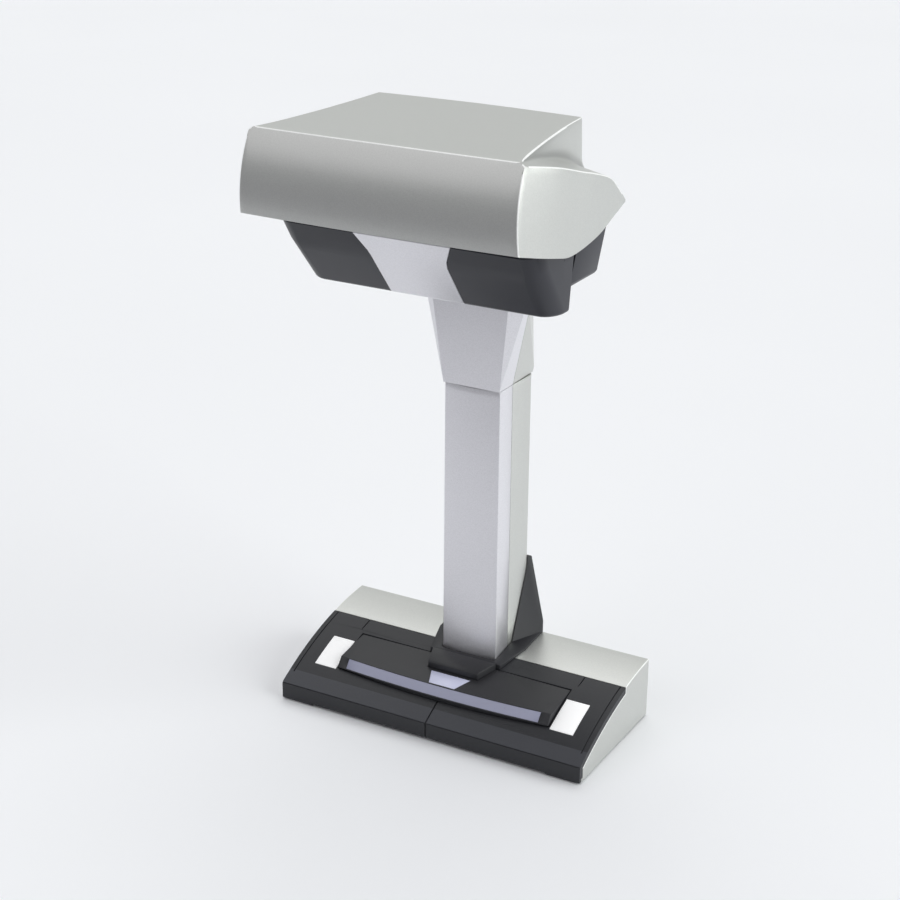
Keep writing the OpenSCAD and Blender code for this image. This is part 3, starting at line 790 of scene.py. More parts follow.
def merged_copy(name: str, node: bpy.types.Object) -> bpy.types.Object:
    """A copy of a CAD node with its corners merged and its flat sides in one piece each.

    Args:
        name: The copy's name.
        node: The CAD node.

    Returns:
        The copy.
    """
    made = bpy.data.objects.new(name, node.data.copy())
    bpy.context.scene.collection.objects.link(made)
    with Bench(made) as bench:
        bench.all()
        bpy.ops.mesh.remove_doubles(threshold=0.002 * MM)
        bpy.ops.mesh.dissolve_limited(angle_limit=math.radians(0.6))
    return made


def nowhere(_: Vector) -> bool:
    """Says no of every place."""
    return False


def soften(
    piece: bpy.types.Object, edge: float, skin: int = -1, spare: Callable[[Vector], bool] = nowhere
) -> None:
    """Rounds the sharp edges that have room for it.

    Args:
        piece: The piece.
        edge: Width of the rounding in millimetres.
        skin: Number of the material that the rounding gets, or -1.
        spare: Says of an edge's middle, in millimetres, whether the edge stays sharp.
    """
    with Bench(piece) as bench:
        bench.choose(lambda e: sharpness(e) > SHARP and has_room(e, edge) and not spare(middle(e)))
        bench.round_off(edge, 2, clamp=False, skin=skin)


def paint(piece: bpy.types.Object, number: int, test: Callable[[bmesh.types.BMFace], bool]) -> None:
    """Gives some faces another of the piece's materials.

    Args:
        piece: The piece.
        number: The material's number.
        test: Says whether a face gets it.
    """
    piece.active_material_index = number
    with Bench(piece, Element.FACE) as bench:
        bench.choose(test)
        bpy.ops.object.material_slot_assign()


def face_away(piece: bpy.types.Object, inner: Vector) -> None:
    """Turns an open sheet over if its faces look at a place inside it.

    Args:
        piece: The sheet, with faces that agree with each other.
        inner: The place, in millimetres.
    """
    with Bench(piece, Element.FACE) as bench:
        faces = bmesh.from_edit_mesh(piece.data).faces
        if sum(f.normal.dot(f.calc_center_median() - inner * MM) for f in faces) < 0:
            bench.all()
            bpy.ops.mesh.flip_normals()


def apart(side: int, near: float, far: float) -> list[float]:
    """The lower and the higher X of a feature, on the right (1) or on the left (-1)."""
    return sorted((side * near, side * far))


def through(points: Sequence[Place], t: float) -> Vector:
    """A point on a smooth curve through some points.

    Args:
        points: The points, in millimetres.
        t: 0 at the first point, 1 at the second, and so on.

    Returns:
        The place.
    """
    i = min(int(t), len(points) - 2)
    u = t - i
    ends = [Vector(points[max(0, min(len(points) - 1, k))]) for k in (i - 1, i, i + 1, i + 2)]
    if i == 0:
        ends[0] = ends[1] * 2 - ends[2]
    if i == len(points) - 2:
        ends[3] = ends[2] * 2 - ends[1]
    a, b, c, d = ends
    second = 2 * a - 5 * b + 4 * c - d
    third = 3 * b - a - 3 * c + d
    return 0.5 * ((2 * b) + (c - a) * u + second * u * u + third * u**3)


def between(a: Vector, b: Vector, n: int) -> list[Vector]:
    """n places from a towards b, with a and without b."""
    return [a.lerp(b, i / n) for i in range(n)]


def bend(a: Vector, corner: Vector, b: Vector, n: int) -> list[Vector]:
    """n places on a rounded corner from a towards b, with a and without b."""
    return [a.lerp(corner, i / n).lerp(corner.lerp(b, i / n), i / n) for i in range(n)]


@dataclass
class Workshop:
    """What every sub-assembly needs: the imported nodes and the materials."""

    nodes: dict[str, bpy.types.Object]
    wardrobe: Wardrobe = field(default_factory=Wardrobe)

    def fit(
        self,
        piece: bpy.types.Object,
        body: Body,
        slot: str,
        replaces: Iterable[str] = (),
        angle: float = 32.0,
        edges: Sequence[str] = (),
    ) -> bpy.types.Object:
        """Finishes a piece: shading, material, body and what it stands for.

        Args:
            piece: The finished mesh.
            body: The body that it rides on.
            slot: The record's material slot.
            replaces: The CAD nodes that it stands for.
            angle: Shade smooth below this angle.
            edges: Further finishes for its numbered faces.

        Returns:
            The piece.
        """
        smooth(piece, angle)
        self.wardrobe.dress(piece, slot, *edges)
        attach(piece, body.value)
        if replaces:
            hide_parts(*replaces)
        LOG.info("%s rides on %s with %d faces", piece.name, body.value, len(piece.data.polygons))
        return piece

    def mould(
        self, node: str, name: str, body: Body, slot: str, edge: float, angle: float = 32.0
    ) -> bpy.types.Object:
        """Fits a rounded copy of a CAD node in its place.

        Args:
            node: The CAD node.
            name: The copy's name.
            body: The body that it rides on.
            slot: Its material slot.
            edge: Width of the rounding in millimetres.
            angle: Shade smooth below this angle.

        Returns:
            The copy.
        """
        copy = merged_copy(name, self.nodes[node])
        soften(copy, edge)
        return self.fit(copy, body, slot, [node], angle)


# ---------- sub-assemblies ----------


@dataclass
class Hood:
    """The silver hood: bulging front, flat top that narrows to the rear, and a swept wing on each side."""

    shop: Workshop
    wall: float = 2.0
    bulge_r: float = 68.6
    bulge_z: float = 345.0
    bulge_y: float = -7.4
    bow: float = 2.0
    bow_half: float = 86.0
    front_z0: float = 333.9
    per_stretch: int = 4
    face_rows: int = 12
    top_columns: int = 8
    top_bow: float = 2.0
    top_crown: float = 0.25
    top_r: float = 0.9
    crease_r: float = 9.0
    front_fade: float = 3.0
    edge_r: float = 0.55
    rear_wall: Flat = (36.0, 329.5)
    rounding: Flat = (-64.0, 380.3)
    arm_half: float = 16.0
    arm_top: float = 346.0
    inside: Place = (0.0, 0.0, 340.0)
    top_edge: tuple[Place, ...] = (
        (81.2, -66.0, 380.6), (78.0, -54.0, 380.9), (75.0, -39.0, 381.2), (72.0, -21.0, 381.6),
        (70.1, -8.0, 381.9), (68.1, 7.5, 382.3), (67.1, 17.0, 382.5), (66.3, 27.0, 382.7),
        (65.9, 33.0, 382.8), (65.5, 38.0, 382.9),
    )
    crease: tuple[Place, ...] = (
        (82.2, -66.4, 380.2), (79.6, -54.0, 378.6), (77.2, -39.0, 376.3), (74.6, -21.0, 372.6),
        (72.8, -8.0, 369.7), (70.6, 7.5, 365.2), (69.2, 17.0, 361.9), (68.0, 27.0, 358.0),
        (67.2, 33.0, 355.6), (66.2, 38.6, 352.5),
    )
    wing_top: tuple[Place, ...] = (
        (84.0, -67.1, 379.0), (88.0, -54.0, 376.7), (92.0, -39.3, 373.6), (95.0, -21.0, 368.3),
        (97.0, -8.4, 364.9), (98.0, 7.5, 359.4), (98.5, 17.0, 352.0), (98.5, 26.5, 343.4),
    )
    wing_low: tuple[Place, ...] = (
        (85.9, -75.1, 333.9), (89.6, -60.0, 330.2), (92.4, -45.0, 326.8), (94.0, -33.0, 324.7),
        (95.6, -19.6, 326.3), (97.0, -2.5, 330.3), (98.1, 9.5, 335.8), (98.5, 26.5, 342.2),
    )
    corner_top: tuple[Place, ...] = ((98.5, 26.5, 343.4), (92.5, 33.5, 344.2), (84.0, 38.8, 344.8))
    corner_low: tuple[Place, ...] = ((98.5, 26.5, 342.2), (92.0, 33.5, 336.5), (84.0, 38.8, 329.6))

    def front_y(self, x: float, z: float) -> float:
        """Where the bulging front is, at a distance from the middle and a height."""
        reach = math.sqrt(self.bulge_r**2 - (z - self.bulge_z) ** 2)
        return self.bulge_y - reach - self.bow * (1 - (x / self.bow_half) ** 2)

    def wing_line(self, main: Sequence[Place], corner: Sequence[Place], t: float) -> Vector:
        """A point of the wing's upper or lower line, which has a sharp tip before its rear corner."""
        last = len(main) - 1
        return through(main, t) if t <= last else through(corner, t - last)

    def front_column(self) -> list[Vector]:
        """The side edge of the front face.

        Returns:
            Its places from top to bottom.
        """
        top, low = Vector(self.wing_top[0]), Vector(self.wing_low[0])
        places = []
        for i in range(self.face_rows + 1):
            place = top.lerp(low, i / self.face_rows)
            place.y = self.front_y(place.x, place.z)
            places.append(place)
        return places

    def section(self, t: float) -> list[Vector]:
        """One section, from the middle of the top out to the wing's lower line.

        Args:
            t: How far back it is, in stretches of the drawn lines.

        Returns:
            Its places in order.
        """
        edge, crease = through(self.top_edge, t), through(self.crease, t)
        top = self.wing_line(self.wing_top, self.corner_top, t)
        low = self.wing_line(self.wing_low, self.corner_low, t)
        share = t / (len(self.top_edge) - 1)
        centre = Vector((0, edge.y - self.top_bow + 2 * self.top_bow * share, edge.z + self.top_crown))
        side, shoulder = crease - edge, top - crease
        r0 = min(self.top_r, side.length * 0.3)
        r1 = min(self.crease_r, side.length * 0.45, shoulder.length * 0.4)
        a0 = edge + (centre - edge).normalized() * r0
        b0 = edge + side.normalized() * r0
        a1 = crease - side.normalized() * r1
        b1 = crease + shoulder.normalized() * r1
        across = [a0.lerp(centre, 1 - i / self.top_columns) for i in range(self.top_columns)]
        for place in across:
            place.y = edge.y + (centre.y - edge.y) * (1 - (place.x / edge.x) ** 2)
        row = across + bend(a0, edge, b0, 4) + between(b0, a1, 2)
        row += bend(a1, crease, b1, 6) + between(b1, top, 4)
        fade = max(0.0, 1 - t / self.front_fade) ** 2
        column = self.front_column()
        for i, place in enumerate(column):
            chord = column[0].lerp(column[-1], i / self.face_rows)
            row.append(top.lerp(low, i / self.face_rows) + (place - chord) * fade)
        return row

    def skin(self) -> bpy.types.Object:
        """The right half's outer skin.

        Returns:
            The top, the side and the front in one mesh.
        """
        stretches = len(self.top_edge) - 1
        steps = [i / self.per_stretch for i in range(stretches * self.per_stretch + 1)]
        rows = [self.section(t) for t in steps]
        first = rows[0]
        wide = len(first) - self.face_rows
        for place in first[:wide]:
            place.y = self.front_y(place.x, place.z)
        column = first[wide - 1:]
        face = [first[:wide]]
        for i in range(1, self.face_rows + 1):
            share = (column[0].z - column[i].z) / (column[0].z - self.front_z0)
            line = []
            for k, place in enumerate(first[:wide]):
                even = column[i].x * k / (wide - 1)
                x = place.x * column[i].x / column[0].x
                x += (even - x) * min(1.0, i / 3)
                z = place.z + (self.front_z0 - place.z) * share
                line.append(Vector((x, self.front_y(x, z), z)))
            line[-1] = column[i]
            face.append(line)
        shell = sheet_of("hood_shell", rows)
        front = sheet_of("hood_front", face)
        pick_only(shell, front)
        bpy.ops.object.join()
        return shell

    def build(self) -> None:
        """Mirrors the skin, closes the back, gives it its wall and rounds its edges."""
        shell = self.skin()
        self.shop.wardrobe.dress(shell, "silver_paint", "edge_painted_highlight")
        apply(shell, "MIRROR", use_axis=(True, False, False), use_clip=True, merge_threshold=0.02 * MM)
        with Bench(shell) as bench:
            bench.outward()
            bench.choose(self.is_rear_border)
            bpy.ops.mesh.edge_face_add()
            bench.outward()
            # the rounded outer edges, and below the small faces of the top rounding, get the painted edge
            # highlight
            bench.choose(self.is_outer_edge)
            bench.round_off(self.edge_r, 3, clamp=False, skin=1)
        paint(shell, 1, self.is_top_rounding)
        across, up = Vector((1, 0, 0)), Vector((0, 0, 1))
        with Bench(shell, Element.FACE) as bench:
            for place, normal in ((across * self.arm_half, across), (-across * self.arm_half, across),
                                  (up * self.arm_top, up)):
                bench.choose(lambda f: f.normal.y > 0.9 and f.calc_area() > 60e-6)
                bpy.ops.mesh.bisect(plane_co=place * MM, plane_no=normal)
            bench.choose(self.is_arm_opening)
            bpy.ops.mesh.delete(type="FACE")
        face_away(shell, Vector(self.inside))
        apply(shell, "SOLIDIFY", thickness=self.wall * MM, offset=-1.0, use_even_offset=False)
        self.shop.fit(shell, Body.STAND, "silver_paint", ["hood"], angle=30.0, edges=["edge_painted_highlight"])

    def is_rear_border(self, edge: bmesh.types.BMEdge) -> bool:
        """Whether an open edge goes round the rear wall."""
        place = middle(edge)
        return len(edge.link_faces) == 1 and place.y > self.rear_wall[0] and place.z > self.rear_wall[1]

    def is_top_rounding(self, face: bmesh.types.BMFace) -> bool:
        """Whether a face belongs to the rounding between the flat top and the side, which gets the painted
        edge highlight.

        Args:
            face: The face.

        Returns:
            True for its small slanting faces.
        """
        place = face.calc_center_median() / MM
        is_strip = face.calc_area() < 4e-6 and 0.25 < face.normal.z < 0.985
        return is_strip and place.y > self.rounding[0] and place.z > self.rounding[1]

    def is_arm_opening(self, face: bmesh.types.BMFace) -> bool:
        """Whether a face of the rear wall lies where the arm goes in."""
        place = face.calc_center_median() / MM
        return abs(place.x) < self.arm_half and place.y > self.rear_wall[0] and place.z < self.arm_top

    def is_outer_edge(self, edge: bmesh.types.BMEdge) -> bool:
        """Whether an edge is one of the crisp outer edges."""
        place = middle(edge)
        return sharpness(edge) > 33 and place.z > 325 and has_room(edge, self.edge_r)


@dataclass
class SwingingUnit:
    """The black shell under the hood that swings with the lens and the lamps, and its silver stripe."""

    shop: Workshop
    wall: float = 2.0
    top_half: float = 83.3
    low_half: float = 79.6
    low_z: float = 283.2
    top_z: float = 341.0
    rear_y: float = -1.2
    corner_r: float = 11.0
    low_r: float = 2.4
    stripe_low: float = 23.3
    stripe_mid: float = 24.0
    stripe_top: float = 30.5
    front: tuple[Flat, ...] = ((-43.2, 341.0), (-47.8, 324.0), (-40.0, 310.8), (-18.0, 283.4))
    stripe_proud: float = 0.1
    stripe_rear: float = -16.5
    pivot: Flat = (-8.0, 322.0)
    hub_r: float = 7.5
    hub_x: Flat = (74.4, 81.9)
    bore_r: float = 4.5
    bore_x: Flat = (74.0, 79.9)
    window_y: Flat = (-15.5, -4.5)
    window_z: Flat = (280.0, 290.0)
    windows_x: tuple[Flat, ...] = ((-20, 20), (28, 68), (-68, -28))
    crown: tuple[Flat, ...] = (
        (-41.0, 342.0), (-8.0, 331.0), (-3.5, 329.8), (-0.2, 326.5), (1.0, 322.0), (10.0, 322.0),
        (10.0, 346.0), (-41.0, 346.0),
    )

    def skin(self) -> bpy.types.Object:
        """The outer skin: a block cut to the front's slopes, with rounded corners.

        Returns:
            The skin, open above and behind.
        """
        skin = block(
            "unit_skin", (-self.top_half, -60, self.low_z), (self.top_half, self.rear_y, self.top_z)
        )
        with Bench(skin, Element.VERT) as bench:
            bench.choose(lambda v: v.co.z < (self.low_z + 1) * MM)
            bpy.ops.transform.resize(value=(self.low_half / self.top_half, 1, 1), center_override=(0, 0, 0))
            for (y0, z0), (y1, z1) in zip(self.front, self.front[1:]):
                bench.all()
                bpy.ops.mesh.bisect(
                    plane_co=(0, y0 * MM, z0 * MM), plane_no=Vector((0, z1 - z0, y0 - y1)).normalized(),
                    use_fill=True, clear_inner=False, clear_outer=True,
                )
        with Bench(skin) as bench:
            bench.outward()
            bench.choose(lambda e: self.joins(e, Side.END, Side.FRONT))
            bench.round_off(self.corner_r, 10)
            bench.choose(lambda e: self.joins(e, Side.LOW, Side.FRONT) or self.joins(e, Side.LOW, Side.END))
            bench.round_off(self.low_r, 8)
            bench.choose(lambda e: 4 < sharpness(e) < 30 and abs(middle(e).x) < 60 and middle(e).y < -30)
            bench.round_off(6.0, 5)
        with Bench(skin, Element.FACE) as bench:
            bench.choose(lambda f: f.normal.y > 0.9 or (f.normal.z > 0.9 and f.calc_center_median().z > 0.34))
            bpy.ops.mesh.delete(type="FACE")
        return skin

    @staticmethod
    def side(face: bmesh.types.BMFace) -> Side:
        """Which side of the block a face belongs to.

        Args:
            face: The face.

        Returns:
            Its side.
        """
        normal = face.normal
        if abs(normal.x) > 0.8:
            return Side.END
        if normal.z < -0.93:
            return Side.LOW
        if normal.y < -0.3:
            return Side.FRONT
        return Side.REAR if normal.y > 0.8 else Side.OTHER

    def joins(self, edge: bmesh.types.BMEdge, first: Side, second: Side) -> bool:
        """Whether an edge lies between faces of two sides."""
        return {self.side(face) for face in edge.link_faces} == {first, second}

    def stripe_outline(self, grow: float) -> list[Flat]:
        """The stripe's outline from the front: straight below, flaring above.

        Args:
            grow: How much wider it is than the stripe, on each side.

        Returns:
            Its corners in order.
        """
        right = [
            (self.stripe_low + grow, 278.0), (self.stripe_mid + grow, 309.0),
            (self.stripe_mid + 0.9 + grow, 313.5), (self.stripe_top + grow, 324.0), (38.6 + grow, 341.0),
        ]
        return right + [(-x, z) for x, z in reversed(right)]

    def layer(
        self, skin: bpy.types.Object, name: str, out: float, depth: float, grow: float
    ) -> bpy.types.Object:
        """A layer of the skin under the stripe's outline.

        Args:
            skin: The open outer skin.
            name: The layer's name.
            out: How far it stands proud of the skin.
            depth: Its whole thickness.
            grow: How much wider it is than the stripe.

        Returns:
            The layer.
        """
        made = twin(skin, name)
        with Bench(made) as bench:
            bench.all()
            bpy.ops.transform.shrink_fatten(value=out * MM)
        apply(made, "SOLIDIFY", thickness=depth * MM, offset=-1.0, use_even_offset=False)
        outline = prism("outline", self.stripe_outline(grow), -70, self.stripe_rear + grow)
        cut(made, outline, Meeting.KEEP)
        return made

    def build(self) -> None:
        """Makes the shell with its recess and windows, and the stripe."""
        skin = self.skin()
        stripe = self.layer(skin, "head_stripe_panel", self.stripe_proud, 1.2, 0.0)
        recess = self.layer(skin, "recess", 0.5, 1.7, 0.22)
        shell = twin(skin, "swinging_shell")
        bpy.data.objects.remove(skin)
        apply(shell, "SOLIDIFY", thickness=self.wall * MM, offset=-1.0, use_even_offset=False)
        cut(shell, prism("crown", self.crown, -90, 90, along_x=True))
        for side in (-1, 1):
            cut(shell, rod("hub", *apart(side, *self.hub_x), self.pivot, self.hub_r), Meeting.ADD)
            cut(shell, rod("bore", *apart(side, *self.bore_x), self.pivot, self.bore_r))
        cut(shell, recess)
        for window_x in self.windows_x:
            cut(shell, span("window", window_x, self.window_y, self.window_z))
        with Bench(stripe) as bench:
            bench.choose(lambda e: sharpness(e) > 50)
            bench.round_off(0.2, 2)
        self.shop.fit(shell, Body.HEAD, "head_black", ["head_shell"], angle=28.0)
        self.shop.fit(stripe, Body.HEAD, "silver_lilac", ["head_stripe"], angle=28.0)
        self.shop.mould("dust_skirt", "skirt_of_unit", Body.HEAD, "black_plastic", 0.2)


@dataclass
class RearHousing:
    """The fixed black housing behind the swinging unit."""

    shop: Workshop
    wall: float = 2.2
    top_half: float = 84.0
    low_half: float = 77.8
    front_y: float = 1.8
    rear_y: float = 40.0
    low_z: float = 295.0
    top_z: float = 329.4
    low_r: float = 3.5
    rear_r: float = 4.0
    arm_half: float = 16.0
    arm_y: Flat = (30.0, 50.0)
    arm_z: Flat = (300.0, 346.0)
    ledge_x: Flat = (80.0, 86.0)
    ledge_y: Flat = (36.6, 42.0)
    ledge_z: Flat = (308.6, 309.4)

    def build(self) -> None:
        """A block with rounded lower edges, open above and in front, with a small ledge at its rear edge."""
        low = (-self.top_half, self.front_y, self.low_z)
        shell = block("rear_housing", low, (self.top_half, self.rear_y, self.top_z))
        with Bench(shell, Element.VERT) as bench:
            bench.choose(lambda v: v.co.z < (self.low_z + 1) * MM)
            bpy.ops.transform.resize(value=(self.low_half / self.top_half, 1, 1), center_override=(0, 0, 0))
        with Bench(shell) as bench:
            bench.choose(lambda e: middle(e).z < self.low_z + 1 and abs(middle(e).x) > 70)
            bench.round_off(self.low_r, 7)
            bench.choose(lambda e: sharpness(e) > 50 and middle(e).y > 39 and middle(e).z < 328)
            bench.round_off(self.rear_r, 6)
        with Bench(shell, Element.FACE) as bench:
            bench.choose(lambda f: f.normal.y < -0.9 or f.normal.z > 0.9)
            bpy.ops.mesh.delete(type="FACE")
        apply(shell, "SOLIDIFY", thickness=self.wall * MM, offset=-1.0, use_even_offset=True)
        cut(shell, span("arm_opening", (-self.arm_half, self.arm_half), self.arm_y, self.arm_z))
        for side in (-1, 1):
            cut(shell, span("ledge", apart(side, *self.ledge_x), self.ledge_y, self.ledge_z))
        with Bench(shell) as bench:
            bench.choose(lambda e: sharpness(e) > 60 and e.calc_length() > 5 * MM)
            bench.round_off(0.3, 2)
        self.shop.fit(shell, Body.STAND, "head_black", ["head_rear_housing"], angle=30.0)


@dataclass
class Column:
    """The column's covers, with a slightly crowned front."""

    shop: Workshop
    wall: float = 2.2
    half: float = 18.9
    front_y: float = 34.6
    crown: float = 1.5
    corner: float = 0.7
    seam_y: float = 52.0
    seam_gap: float = 0.3
    rear_y: float = 78.0
    rear_half: float = 20.0
    rear_r: float = 5.0
    low_z: float = 34.0
    high_z: float = 213.4
    end_band: float = 4.0
    face_parts: int = 12

    def front_outline(self) -> list[Flat]:
        """The front cover's plan, crowned in front.

        Returns:
            Its places from right to left.
        """
        face_half = self.half - self.corner
        corner_y = self.front_y + self.crown
        waves = [math.cos(math.pi * i / self.face_parts) for i in range(self.face_parts + 1)]
        face = [(face_half * wave, self.front_y + self.crown * wave**2) for wave in waves]
        turn = [
            (face_half + self.corner * math.sin(a), corner_y + self.corner * (1 - math.cos(a)))
            for a in (math.radians(d) for d in (90, 72, 54, 36, 18))
        ]
        end = [(self.half, self.seam_y - self.seam_gap / 2)]
        right = end + turn
        return right + face + [(-x, y) for x, y in reversed(right)]

    def rear_outline(self) -> list[Flat]:
        """The rear cover's plan, with round corners behind.

        Returns:
            Its places from left to right.
        """
        centre = (self.rear_half - self.rear_r, self.rear_y - self.rear_r)
        turn = [
            (centre[0] + self.rear_r * math.cos(a), centre[1] + self.rear_r * math.sin(a))
            for a in (math.radians(15 * i) for i in range(7))
        ]
        right = [(self.half + 0.05, self.seam_y + self.seam_gap / 2)] + turn
        return [(-x, y) for x, y in right] + list(reversed(right))

    def cover(self, name: str, outline: Sequence[Flat], slot: str, node: str) -> None:
        """Draws an outline up into a cover and rounds its ends.

        Args:
            name: The cover's name.
            outline: Its plan, in order.
            slot: Its material slot.
            node: The CAD node that it stands for.
        """
        band = self.end_band
        heights = (self.low_z, self.low_z + band, self.high_z - band, self.high_z)
        shell = sheet_of(name, [[Vector((x, y, z)) for x, y in outline] for z in heights])
        face_away(shell, Vector((0, (self.front_y + self.rear_y) / 2, (self.low_z + self.high_z) / 2)))
        apply(shell, "SOLIDIFY", thickness=self.wall * MM, offset=-1.0, use_even_offset=True)
        with Bench(shell) as bench:
            bench.choose(lambda e: sharpness(e) > 60)
            bench.round_off(0.25, 2)
        self.shop.fit(shell, Body.STAND, slot, [node], angle=25.0)

    def build(self) -> None:
        """The two covers of the column and the two of the neck."""
        self.cover("column_front", self.front_outline(), "silver_lilac", "column_front_cover")
        self.cover("column_rear", self.rear_outline(), "silver_paint", "column_rear_cover")
        self.shop.mould("neck_front_cover", "neck_front", Body.STAND, "silver_lilac", 0.4, 12.0)
        self.shop.mould("neck_rear_cover", "neck_rear", Body.STAND, "silver_paint", 0.4, 12.0)
        self.shop.mould("column_foot_cover", "foot_surround", Body.STAND, "black_plastic", 0.22)


@dataclass
class Base:
    """The base's covers with their seams, and the controls on it."""

    shop: Workshop
    seam: float = 0.5
    lip_y: float = -19.0
    lip_z: float = 11.9
    crease_y: float = -10.5
    arc_y: float = 85.8
    arc_z: float = -170.2
    arc_r: float = 210.0
    seam_x: float = 77.5
    rail_x: float = 101.6
    rail_gap: float = 0.6
    rail_end: float = 43.0
    middle_gap: float = 0.8
    middle_end: float = -4.0
    seam_y: Flat = (30.2, 46.0)
    seam_z: Flat = (33.2, 42.0)
    lip_groove: Flat = (0.7, 0.4)
    half_width: float = 106.0
    arc_parts: int = 16
    strip_half: float = 69.0
    strip_place: Flat = (6.0, 22.5)
    lamp_half: float = 24.0
    lamp_place: Flat = (0.0, 24.0)
    bar_skin_z: float = 22.0
    front_edge: float = 0.22
    rear_edge: float = 0.45
    bar_edge: float = 0.35

    def is_crease_band(self, face: bmesh.types.BMFace) -> bool:
        """Whether a face belongs to the flat band between the lip and the curved top, which gets the painted
        light.
        """
        place = face.calc_center_median() / MM
        return self.lip_y < place.y < self.crease_y + 0.3 and place.z > self.lip_z and face.normal.z > 0.5

    def by_the_lamps(self, place: Vector) -> bool:
        """Whether a place of the scan button is inside it or at the strip or the lamp window.

        Args:
            place: The place in millimetres.

        Returns:
            True where an edge stays sharp.
        """
        strip_y, strip_z = self.strip_place
        lamp_y, lamp_z = self.lamp_place
        at_strip = abs(place.x) < self.strip_half and place.y < strip_y and place.z > strip_z
        at_lamp = abs(place.x) < self.lamp_half and place.y > lamp_y and place.z > lamp_z
        return at_strip or at_lamp or place.z < self.bar_skin_z

    @staticmethod
    def under_rear_cover(place: Vector) -> bool:
        """Whether a place of the rear cover is near the floor or behind its outer faces."""
        return place.z < 8 or (abs(place.x) < 100 and place.y < 76)

    def top_z(self, y: float) -> float:
        """Height of the curved top."""
        return self.arc_z + math.sqrt(self.arc_r**2 - (y - self.arc_y) ** 2)

    def skin_cutter(
        self, x0: float, x1: float, y_end: float, y_start: float, depth: float
    ) -> bpy.types.Object:
        """A cutter that goes into the front and top by one depth all along.

        Args:
            x0: Its left side.
            x1: Its right side.
            y_end: Where it ends at the rear.
            y_start: Where it starts; in front of the lip, it goes down the front wall too.
            depth: How deep it goes.

        Returns:
            The cutter.
        """
        # the outer side lies clear of the skin, and the lower end lies below the base
        steps = range(self.arc_parts + 1)
        depths = [y_end + (self.crease_y - y_end) * i / self.arc_parts for i in steps]
        top = [(y, self.top_z(y)) for y in depths]
        inner = [(y + depth * 0.5, z - depth) for y, z in top]
        outer = [(y - 1.5, z + 3) for y, z in top]
        if y_start < self.lip_y:
            inner += [(self.lip_y + depth, self.lip_z - 0.5 * depth), (self.lip_y + depth, -2.0)]
            outer += [(self.lip_y - 3, self.lip_z), (self.lip_y - 3, -2.0)]
        return prism("skin_cutter", inner + outer[::-1], x0, x1, along_x=True)

    def build(self) -> None:
        """Rounded covers with grooves, then the buttons, lamps, patches and feet."""
        front = merged_copy("base_front", self.shop.nodes["base_front_cover"])
        seam, rail, middle_half = self.seam / 2, self.rail_gap / 2, self.middle_gap / 2
        for side in (-1, 1):
            x = side * self.seam_x
            cut(front, span("side_seam", (x - seam, x + seam), self.seam_y, self.seam_z))
            x = side * self.rail_x
            cut(front, self.skin_cutter(x - rail, x + rail, self.rail_end, self.crease_y, self.rail_gap))
        before = self.lip_y - 1
        cut(front, self.skin_cutter(-middle_half, middle_half, self.middle_end, before, self.middle_gap))
        depth, height = self.lip_groove
        reach, levels = (before, self.lip_y + depth), (self.lip_z - height, self.lip_z)
        cut(front, span("lip_groove", (-self.half_width, self.half_width), reach, levels))
        soften(front, self.front_edge)
        # the band between the lip and the crease gets the lighter copy of the plastic, as painted light
        self.shop.wardrobe.dress(front, "black_plastic", "crease_band_painted_light")
        paint(front, 1, self.is_crease_band)
        self.shop.fit(
            front, Body.STAND, "black_plastic", ["base_front_cover"], angle=8.0, edges=["crease_band_painted_light"]
        )
        rear = merged_copy("base_rear", self.shop.nodes["base_rear_cover"])
        # the rounded edges of the rear cover get the painted edge highlight
        self.shop.wardrobe.dress(rear, "silver_paint", "edge_painted_highlight")
        soften(rear, self.rear_edge, skin=1, spare=self.under_rear_cover)
        self.shop.fit(rear, Body.STAND, "silver_paint", ["base_rear_cover"], angle=8.0, edges=["edge_painted_highlight"])
        bar = merged_copy("scan_bar", self.shop.nodes["scan_button"])
        soften(bar, self.bar_edge, spare=self.by_the_lamps)
        self.shop.fit(bar, Body.SCAN, "button_black", ["scan_button"])
        self.shop.mould("scan_button_strip", "scan_bar_strip", Body.SCAN, "lilac_light_guide", 0.15)
        lamp = self.shop.mould("lamp_window", "lamp_lens", Body.SCAN, "lilac_light_guide", 0.2)
        # the lamp window is a paler kind of the light guide
        self.shop.wardrobe.dress(lamp, "lamp_lilac")
        self.shop.mould("stop_button", "stop_key", Body.STOP, "button_black", 0.3)
        for side in ("left", "right"):
            patch = f"reference_patch_{side}"
            self.shop.mould(f"white_reference_{side}", patch, Body.STAND, "white_patch", 0.12)
        self.shop.mould("foot_pads", "rubber_feet", Body.STAND, "rubber_black", 0.3)
        self.shop.mould("base_bottom_cover", "under_cover", Body.STAND, "black_plastic", 0.3)


@dataclass
class Insides:
    """Everything that keeps its CAD shape and only gets its finish."""

    shop: Workshop

    def build(self, record: dict) -> None:
        """Dresses every CAD node in the finish of its slot; those on the outside are replaced later.

        Args:
            record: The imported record.
        """
        slots = {part["node"]: part["material_slot"] for part in record["subparts"]}
        for name, node in self.shop.nodes.items():
            self.shop.wardrobe.dress(node, slots[name])
        LOG.info("%d CAD nodes dressed", len(self.shop.nodes))


